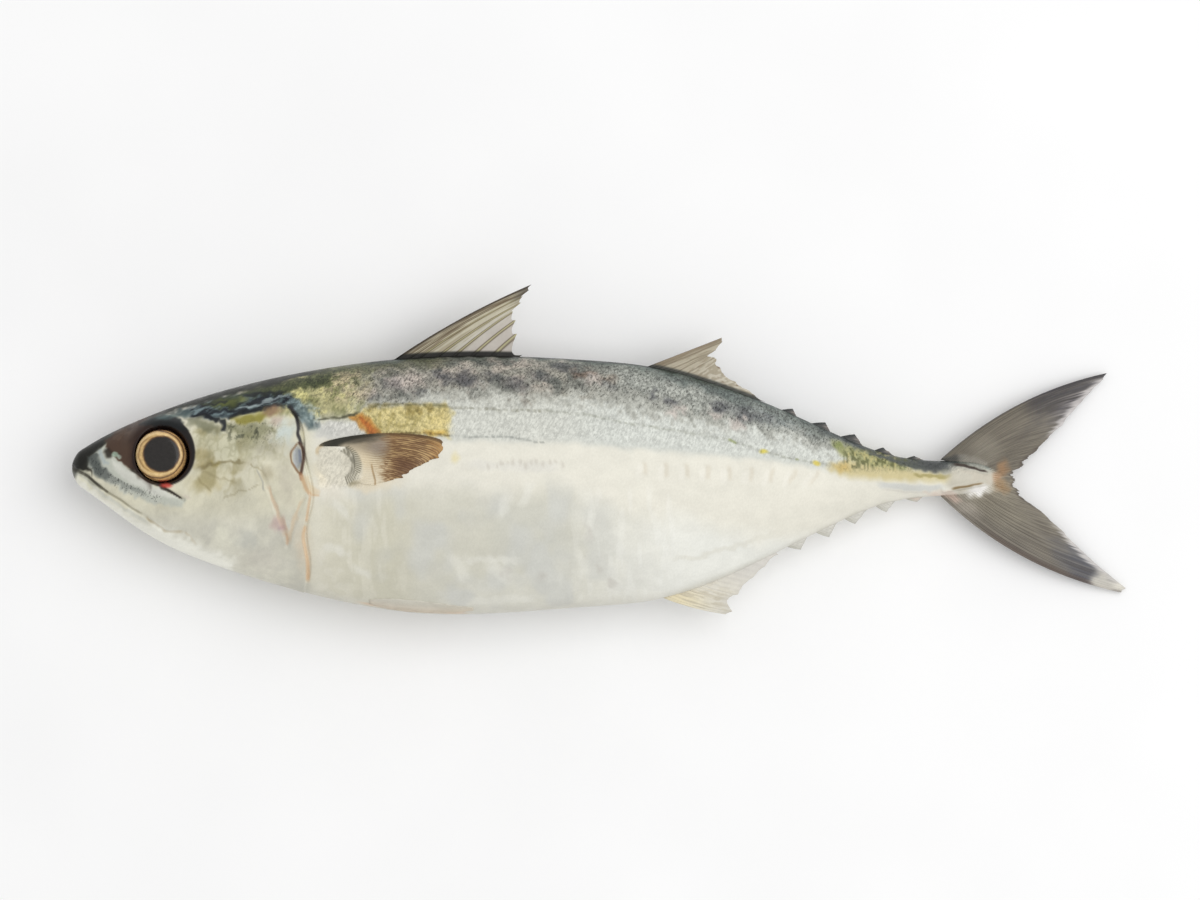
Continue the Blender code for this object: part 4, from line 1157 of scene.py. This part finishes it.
def broad_hump(reach):
    return np.sqrt(np.abs(np.sin(math.pi * reach)))


def fin_grid(rays, scallop, fill, steps, hump=even_hump, fray=None):
    """Points of a fin, ray by ray from root to tip, with each point's ray number and reach."""
    lines = []
    for k, ((root, tip, bow), (next_root, next_tip, next_bow)) in enumerate(zip(rays, rays[1:])):
        for i in range(fill):
            share = i / fill
            start = np.array(root) * (1 - share) + np.array(next_root) * share
            end = np.array(tip) * (1 - share) + np.array(next_tip) * share
            along = end - start
            drawn_in = scallop * np.linalg.norm(np.array(next_tip) - np.array(tip)) * even_hump(share)
            if fray is not None:
                drawn_in += fray(k + share)
            end = end - along / np.linalg.norm(along) * drawn_in
            lines.append((start, end, bow * (1 - share) + next_bow * share, k + share))
    lines.append((np.array(rays[-1][0]), np.array(rays[-1][1]), rays[-1][2], len(rays) - 1))
    reach = np.linspace(0, 1, steps + 1)[:, None]
    grid = []
    for start, end, bow, _ in lines:
        along = end - start
        side = np.array([-along[1], along[0]]) / np.linalg.norm(along)
        grid.append(start + along * reach + side * bow * hump(reach))
    ray = np.repeat(np.array([line[3] for line in lines])[:, None], steps + 1, axis=1)
    return np.array(grid), ray, np.repeat(reach.T, len(lines), axis=0)


def torn(amount, size, seed):
    """How far each ray's tip is worn away: smooth teeth of about the given number of rays."""

    def depth(ray):
        at = np.array([ray])
        teeth = cloud(at, 0 * at, size, seed)[0]
        fine = cloud(at, 0 * at, size * 0.3, seed + 1)[0]
        return amount(ray) * (0.7 * teeth + 0.3 * fine) if callable(amount) else amount * teeth

    return depth


def ray_line(ray, count, width):
    """1 on each of count evenly spread rays, 0 between them."""
    phase = ray * count
    return step(np.abs(phase - np.round(phase)), width, 0.0)


def grain(ray, reach, pitch, seed, pieces=5.0):
    """Uneven streaks that run along the rays, from 0 to 1."""
    return clouds(ray / pitch, reach * pieces, 1.0, seed, 2)


def sunk(root, tip):
    root, tip = np.array(root, float), np.array(tip, float)
    return tuple(root - (tip - root) / np.linalg.norm(tip - root) * FIN_SUNK)


def edge_rays(table, height, bow):
    rays = []
    for i, (root_x, tip_x, tip_y) in enumerate(table):
        root = (root_x, float(height(root_x)))
        rays.append((sunk(root, (tip_x, tip_y)), (tip_x, tip_y), bow * (1 - i / (len(table) - 1))))
    return rays


def finlet_rays(start, end, tip, height):
    corner = (end, float(height(end)))
    outward = 1.0 if height is back_height else -1.0
    rays = []
    for share in (0.0, 0.5, 1.0):
        root_x = start + (end - start) * share
        point = tuple(np.array(tip) * (1 - share) + np.array(corner) * share)
        root = (root_x, float(height(root_x)) - outward)
        rays.append((root, point, outward * FINLET_BOW * (1 - share)))
    return rays


def tail_rays():
    root_x, upper, lower = TAIL_ROOT
    rays = []
    for i, tip in enumerate(TAIL_TIPS):
        share = i / (len(TAIL_TIPS) - 1)
        root = (root_x + TAIL_ROOT_BULGE * math.sin(math.pi * share), upper + (lower - upper) * share)
        bow = TAIL_BOWS[0] * max(0.0, 1 - 2.4 * share) - TAIL_BOWS[1] * max(0.0, 2.4 * share - 1.4)
        rays.append((root, tip, bow))
    return rays


def add_upright_fin(name, grid, ridge, reach, thickness, paint, material):
    """A fin in the fish's middle plane. Ridge, from 0 to 1, is where a ray thickens the skin."""
    half = 0.5 * (thickness[0] + (thickness[1] - thickness[0]) * reach) * (0.6 + 0.4 * ridge)
    level = middle_level(grid[..., 0])
    low = np.maximum(level - half, LEAST_LEVEL)
    points = np.stack([np.dstack([grid, level + half]), np.dstack([grid, low])])
    piece = make_piece(name, points, sheet_faces(*grid.shape[:2]), material)
    u, v = to_px(points[..., 0].ravel(), points[..., 1].ravel())
    canvas = Canvas(u, v, (200, 198, 190))
    paint(canvas)
    canvas.write(piece.data)
    return piece


def doubled(values):
    return np.concatenate([values.ravel(), values.ravel()])


def add_spiny_dorsal(material):
    worn = torn(lambda ray: 0.5, 0.3, 12)
    grid, ray, reach = fin_grid(edge_rays(SPINY_DORSAL, back_height, 0.9), 0.42, 18, 70, fray=worn)
    s, r = doubled(ray), doubled(reach)

    def paint(c):
        streak = grain(s, r, 0.12, 3)
        c.lay((189, 182, 158), step(s, 5.5, 1.5))
        c.lay((190, 183, 174), step(s, 3.0, 5.0))
        c.lay((158, 146, 120), 0.6 * step(streak, 0.5, 0.7) * step(s, 5.0, 3.0))
        c.lay((104, 92, 72), 0.9 * step(np.abs(np.abs(s - np.round(s)) - 0.10), 0.08, 0.02))
        c.lay((186, 182, 128), 0.8 * ray_line(s, 1, 0.08) * step(s, 1.2, 2.0))
        c.lay((104, 90, 70), 0.75 * step(streak, 0.42, 0.6) * step(s, 3.0, 0.8))
        c.lay((66, 56, 44), 0.9 * step(s, 0.6, 0.1))
        c.lay((74, 68, 60), 0.7 * step(r, 0.86, 0.98) * step(s, 3.0, 1.0))
        root = SNOUT_PX[1] - back_height(to_mm((c.u, c.v))[0]) / PX
        c.lay((30, 30, 27), 0.95 * step(c.v, root - 6.0, root - 3.0))
        c.lay((66, 60, 38), 0.85 * step(s, 6.72, 6.9) * step(r, 0.95, 0.6))

    ridge = ray_line(ray, 1, 0.16)
    return add_upright_fin("first_dorsal_fin", grid, ridge, reach, (0.9, 0.45), paint, material)


def add_soft_dorsal(material):
    worn = torn(lambda ray: 0.9 if ray > 2.5 else 0.35, 0.5, 22)
    grid, ray, reach = fin_grid(edge_rays(SOFT_DORSAL, back_height, 0.0), 0.08, 14, 50, fray=worn)
    s, r = doubled(ray), doubled(reach)

    def paint(c):
        streak = grain(s, r, 0.2, 13)
        c.lay((184, 176, 156), np.ones(len(s)))
        c.lay((204, 198, 182), 0.7 * step(s, 3.0, 6.5))
        c.lay((146, 134, 112), 0.55 * step(streak, 0.46, 0.62))
        c.lay((126, 112, 92), 0.6 * step(s, 1.6, 0.2))
        c.lay((110, 98, 82), 0.6 * ray_line(s, 1, 0.12) * step(s, 6.0, 3.0))
        marks = step(clouds(c.u, c.v, 7.0, 15), 0.6, 0.72) * step(r, 0.5, 0.8) * step(s, 4.0, 5.5)
        c.lay((104, 80, 62), 0.8 * marks)
        root = SNOUT_PX[1] - back_height(to_mm((c.u, c.v))[0]) / PX
        c.lay((62, 64, 60), 0.9 * step(c.v, root - 4.5, root - 1.5))

    ridge = ray_line(ray, 2, 0.3)
    return add_upright_fin("second_dorsal_fin", grid, ridge, reach, (0.9, 0.4), paint, material)


def add_anal_fin(material):
    worn = torn(lambda ray: 0.5, 0.5, 32)
    grid, ray, reach = fin_grid(edge_rays(ANAL, belly_height, -0.5), 0.08, 14, 40, fray=worn)
    s, r = doubled(ray), doubled(reach)

    def paint(c):
        c.lay((214, 210, 198), np.ones(len(s)))
        c.lay((224, 212, 176), 0.8 * step(s, 4.0, 0.5) * step(r, 0.9, 0.2))
        c.lay((190, 182, 162), 0.6 * step(grain(s, r, 0.2, 33), 0.46, 0.62) * step(s, 6.0, 2.0))
        c.lay((209, 206, 201), 0.7 * step(s, 4.0, 7.0))
        c.lay((204, 200, 190), 0.6 * step(r, 0.8, 1.0))

    ridge = ray_line(ray, 2, 0.3)
    return add_upright_fin("anal_fin", grid, ridge, reach, (0.9, 0.4), paint, material)


def add_finlets(material):
    rows = ((BACK_FINLETS, back_height, "back"), (BELLY_FINLETS, belly_height, "belly"))
    for table, height, place in rows:
        for i, (start, end, tip_x, tip_y) in enumerate(table):
            worn = torn(lambda ray: 0.15, 0.3, 40 + i)
            rays = finlet_rays(start, end, (tip_x, tip_y), height)
            grid, ray, reach = fin_grid(rays, 0.05, 14, 16, fray=worn)
            s, r = doubled(ray), doubled(reach)

            def paint(c, back=height is back_height, last=i == len(table) - 1):
                streak = grain(s, r, 0.2, 50)
                if back:
                    c.lay((100, 100, 98), np.ones(len(s)))
                    c.lay((164, 152, 144), 0.7 * step(r, 0.5, 1.0) * step(s, 0.2, 0.9))
                    c.lay((56, 58, 57), 0.85 * step(s, 0.5, 0.1) + 0.4 * step(streak, 0.5, 0.66))
                else:
                    c.lay((216, 202, 190) if last else (208, 206, 198), np.ones(len(s)))
                    c.lay((184, 182, 172), 0.8 * step(s, 0.5, 0.05) + 0.4 * step(streak, 0.5, 0.66))
                    c.lay((190, 188, 180), 0.6 * step(r, 0.75, 1.0))

            name = f"{place}_finlet_{i + 1}"
            add_upright_fin(name, grid, ray_line(ray, 4, 0.3), reach, (0.8, 0.4), paint, material)


def add_tail(material):
    def wear(ray):
        near_fork = float(step(np.array(ray), 4.6, 6.2) * step(np.array(ray), 10.6, 9.2))
        return 0.5 + 1.5 * near_fork

    grid, ray, reach = fin_grid(tail_rays(), 0.08, 30, 80, fray=torn(wear, 0.22, 62))
    s, r = doubled(ray), doubled(reach)
    middle = 7.2

    def paint(c):
        lobe = np.abs(s - middle) / 7.5
        upper = step(s, middle + 0.6, middle - 0.6)
        streak = grain(s, r, 0.06, 63)
        wide = clouds(c.u, c.v, 22.0, 65) - 0.5
        c.lay((132, 126, 113), np.ones(len(s)))
        c.lay((114, 108, 97), 0.9 * upper)
        c.lay((104, 98, 90), 0.35 * step(wide, -0.05, 0.2))
        c.lay((152, 144, 127), 0.8 * (1 - upper) * step(lobe + 0.5 * r, 0.95, 0.45))
        c.lay((71, 69, 73), 0.9 * upper * step(c.u + 0.8 * (470 - c.v) + 60 * wide, 1050, 1120))
        c.lay((116, 110, 103), 0.7 * (1 - upper) * step(lobe + 0.4 * r, 0.75, 1.15))
        c.lay((87, 89, 98), 0.85 * (1 - upper) * step(c.u + 50 * wide, 1040, 1075) * step(c.v, 530, 550))
        c.lay((150, 142, 126), 0.3 * step(streak, 0.5, 0.7) * step(r, 0.0, 0.25))
        c.lay((84, 78, 70), 0.4 * step(streak, 0.5, 0.3) * step(r, 0.0, 0.25))
        c.lay((62, 62, 64), 0.8 * step(lobe, 0.92, 0.99) * upper)
        c.lay((92, 80, 74), 0.6 * step(lobe, 0.93, 1.0) * (1 - upper) * step(c.u, 975, 1000))
        frayed = grain(s, r, 0.08, 67)
        trail = step(r + 0.10 * (frayed - 0.5), 0.90, 0.97) * step(lobe, 0.42, 0.55)
        c.lay((214, 210, 208), 0.9 * trail * upper * step(s, 0.3, 1.0))
        c.lay((214, 210, 206), 0.85 * trail * (1 - upper) * step(s, 14.8, 14.0))
        fade = upper * step(r, 0.72, 0.95) * step(s, 0.6, 1.6) * step(s, 3.6, 2.6)
        c.lay((166, 160, 158), 0.6 * fade * step(frayed, 0.35, 0.6))
        c.lay((80, 72, 66), 0.6 * step(r, 0.86, 1.0) * step(lobe, 0.42, 0.3))
        pale_tip = [(1098, 572), (1118, 582), (1130, 590), (1116, 593), (1098, 588), (1090, 582)]
        c.patch((204, 200, 190), pale_tip, 0.9, 5.0, 6)
        c.spot((226, 222, 210), (1120, 588), (9, 4), 0.8, 20, 0.9, 3)
        c.lay((156, 150, 136), 0.5 * step(np.hypot(c.u - 985, c.v - 452), 24, 6) * upper)
        c.spot((182, 174, 162), (967, 507), (17, 9), 0.6, 30, 0.9, 5)
        paint_tail_root(c)
        rosy_root = [(938, 490), (951, 491), (962, 501), (956, 504), (944, 496)]
        c.patch((206, 184, 170), rosy_root, 0.7, 3.0, 3)
        c.spot((78, 78, 76), (950, 460), (14, 4), 0.85, -8, 0.9, 4)

    ridge = ray_line(ray, 3, 0.4)
    return add_upright_fin("tail_fin", grid, ridge, reach, (1.1, 0.45), paint, material)


def add_pectoral(name, side, material):
    rays = [(PECTORAL_LEAD, PECTORAL_TIPS[0], PECTORAL_BOW)]
    first, last = PECTORAL_FAN
    for i, tip in enumerate(PECTORAL_TIPS[1:]):
        share = i / (len(PECTORAL_TIPS) - 2)
        turn = first + (last - first) * share
        root = np.array(PECTORAL_SHOULDER) + PECTORAL_RADIUS * np.array([math.cos(turn), math.sin(turn)])
        rays.append((tuple(root), tip, PECTORAL_BOW * (1 - share)))
    grid, ray, reach = fin_grid(
        rays, 0.15, 22, 70, broad_hump, torn(lambda ray: 0.4 + 0.1 * ray, 0.35, 72)
    )
    x, y = grid[..., 0], grid[..., 1]
    angle = side * angle_at(x, y)
    edge = np.minimum(np.minimum(reach * 3, (1 - reach) * 8), 1)
    u, v = to_px(x, y)
    bulge = relief(u, v)
    under = step(ray, 5.0, 7.6) * step(reach, 0.7, 0.25)
    lift = bulge + 0.10 + 0.38 * edge * (0.7 + 0.3 * ray_line(ray, 4, 0.35)) - 0.5 * np.minimum(under, 1)
    points = np.stack([skin_point(x, angle, lift), skin_point(x, angle, bulge - 0.7)])
    points[..., 2] = np.maximum(points[..., 2], LEAST_LEVEL)
    piece = make_piece(name, points, sheet_faces(*grid.shape[:2]), material)
    s, r = doubled(ray), doubled(reach)
    u, v = to_px(points[..., 0].ravel(), points[..., 1].ravel())
    c = Canvas(u, v, (224, 210, 180))
    streak = grain(s, r, 0.12, 73, 16.0)
    lines = ray_line(s + 0.12 * (cloud(u, v, 8.0, 74) - 0.5), 4, 0.34)
    brown = step(u + 14 * (streak - 0.5), 376, 394)
    pale_from = across(u, [(350, 458), (372, 462), (392, 474)])
    dark_to = across(u, [(350, 440), (372, 444), (392, 458)])
    c.lay((150, 138, 118), 0.88 * step(v, pale_from, dark_to))
    c.lay((181, 148, 104), 0.92 * brown)
    c.lay((120, 88, 58), 0.68 * brown * step(streak, 0.42, 0.6))
    c.lay((76, 52, 34), 0.75 * brown * lines * step(u, 452, 420))
    c.lay((128, 104, 76), 0.5 * lines * (1 - brown) * step(u, 352, 376))
    c.lay((196, 166, 112), 0.5 * brown * step(streak, 0.42, 0.3) * (1 - lines))
    c.lay((188, 142, 80), 0.75 * step(u + 8 * (streak - 0.5), 422, 444) * (1 - lines))
    c.spot((92, 62, 42), (405, 467), (12, 13), 0.7, 35, 0.9, 6)
    c.spot((150, 138, 128), (378, 446), (13, 9), 0.6, 0, 0.9, 5)
    c.lay((56, 52, 40), 0.9 * step(s, 1.0, 0.4) * step(u, 396, 366))
    c.lay((96, 74, 46), 0.85 * step(s, 0.55, 0.2) * step(u, 376, 400))
    c.spot((40, 40, 32), (338, 442.5), (18, 5), 0.8, -14, 0.8, 4)
    c.spot((62, 58, 48), (362, 439), (18, 4), 0.7, -4, 0.9, 3)
    c.lay((223, 213, 190), 0.95 * step(s, 4.6, 6.6) * step(u, 386, 366))
    paint_fin_base(c)
    c.lay((46, 45, 36), 0.9 * step(s, 0.95, 0.4) * step(u, 372, 350) * step(u, 318, 326))
    c.stroke((150, 120, 80), [(372, 462), (374, 475), (377, 490)], 1.8, 0.6, ragged=2)
    c.write(piece.data)
    return piece


def add_pelvic(name, side, material):
    reach = np.linspace(0, 1, 60)[:, None]
    spread = (0.25 + 0.75 * np.sin(math.pi * reach**0.7)) * np.linspace(-0.5, 0.5, 24)
    angle = 0.5 * sum(PELVIC_ANGLES) + (PELVIC_ANGLES[1] - PELVIC_ANGLES[0]) * spread
    x = PELVIC_REACH[0] + (PELVIC_REACH[1] - PELVIC_REACH[0]) * reach + 0 * angle
    lines = step(np.abs(np.sin(spread * 40)), 0.5, 1.0)
    upper = skin_point(x, side * angle, 0.15 + 0.08 * lines)
    points = np.stack([upper, skin_point(x, side * angle, -0.7)])
    points[..., 2] = np.maximum(points[..., 2], LEAST_LEVEL)
    piece = make_piece(name, points, sheet_faces(*x.shape), material)
    u, v = to_px(points[..., 0].ravel(), points[..., 1].ravel())
    c = Canvas(u, v, (210, 207, 194))
    c.lay((198, 192, 176), 0.5 * doubled(lines))
    c.lay((218, 194, 168), 0.45 * doubled(step(angle, PELVIC_ANGLES[0], PELVIC_ANGLES[1])))
    c.write(piece.data)
    return piece


def add_eye(name, side, material):
    """A flattened ball with its painted pupil and rings, where the CAD eye lies."""
    rings, around = 60, 96
    polar = np.linspace(0.004, math.pi - 0.004, rings)[:, None]
    turn = np.linspace(0, 2 * math.pi, around, endpoint=False)[None, :]
    x = EYE_RADIUS * np.sin(polar) * np.cos(turn)
    y = EYE_RADIUS * np.sin(polar) * np.sin(turn)
    flat = np.sqrt(1 - np.sin(polar) ** 6) * np.sign(np.cos(polar))
    z = EYE_DEPTH * flat + 0 * turn
    tilt = EYE_TILT
    x, z = x * math.cos(tilt) - z * math.sin(tilt), x * math.sin(tilt) + z * math.cos(tilt)
    cx, cy = EYE_CENTRE
    surface = skin_point(np.array(cx), side * angle_at(np.array(cx), np.array(cy)))[2]
    points = np.stack([cx + x, cy + y, surface + side * (z - EYE_DEPTH + EYE_PROUD)], axis=-1)
    faces = grid_faces(rings, around, wrap=True)
    faces += [list(range(around)), list(range((rings - 1) * around, rings * around))]
    piece = make_piece(name, points, faces, material)
    u, v = to_px(points[..., 0].ravel(), points[..., 1].ravel())
    c = Canvas(u, v, (52, 38, 32))
    swirl = cloud(u, v, 6.0, 37) - 0.5
    outer = np.hypot(u - 163.4, v - 455.4) + 1.2 * swirl
    c.lay((222, 178, 118), step(outer, 27.8, 27.0))
    c.lay((150, 114, 76), 0.6 * step(np.abs(outer - 25.4), 1.0, 0.3))
    inner = np.hypot((u - 158.6) / 1.05, (v - 454.2) / 0.98) + 1.0 * swirl
    c.lay((84, 60, 45), step(inner, 25.2, 24.0))
    c.lay((214, 180, 122), step(inner, 23.9, 23.0))
    c.lay((232, 202, 148), 0.8 * step(np.abs(inner - 21.0), 1.8, 0.4))
    c.lay((146, 112, 66), 0.7 * step(np.abs(inner - 18.6), 1.2, 0.2) * step(u, 156, 146))
    c.lay((176, 140, 92), 0.5 * step(np.abs(inner - 23.2), 1.0, 0.2))
    pupil = np.hypot(u - 161.8, v - 454.0) + 0.8 * swirl
    c.lay((104, 74, 48), step(pupil, 19.2, 18.0))
    c.lay((40, 37, 35), step(pupil, 17.9, 16.9))
    c.patch((206, 72, 60), [(159, 480), (168, 479.5), (176, 481), (173, 487), (162, 487)], 0.9, 1.2, 2)
    c.lay((58, 40, 32), step((flat + 0 * turn).ravel(), 0.56, 0.42))
    c.write(piece.data)
    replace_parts(piece, name.replace("visible_", ""))
    return piece


def main():
    add_camera()
    add_light_and_floor()
    fins = skin_material("fins", 0.5, 0.05, 0.2)
    turn = np.linspace(0.12, 1, NOSE_RINGS, endpoint=False) * math.pi / 2
    nose = NOSE_ROUND * (1 - np.cos(turn))
    head = np.concatenate([nose, np.linspace(NOSE_ROUND, HEAD_END, HEAD_RINGS)])
    trunk = np.linspace(HEAD_END, STATIONS[-1][0], TRUNK_RINGS)
    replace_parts(add_skin("head_skin", head, *RING_POINTS), "fish")
    add_skin("trunk_skin", trunk, *RING_POINTS)
    for add in (add_spiny_dorsal, add_soft_dorsal, add_anal_fin, add_tail, add_finlets):
        add(fins)
    eye = eye_material()
    for side, word in ((1, "left"), (-1, "right")):
        add_pectoral(f"pectoral_fin_{word}", side, fins)
        add_pelvic(f"pelvic_fin_{word}", side, fins)
        add_eye(f"visible_eye_{word}", side, eye)


main()
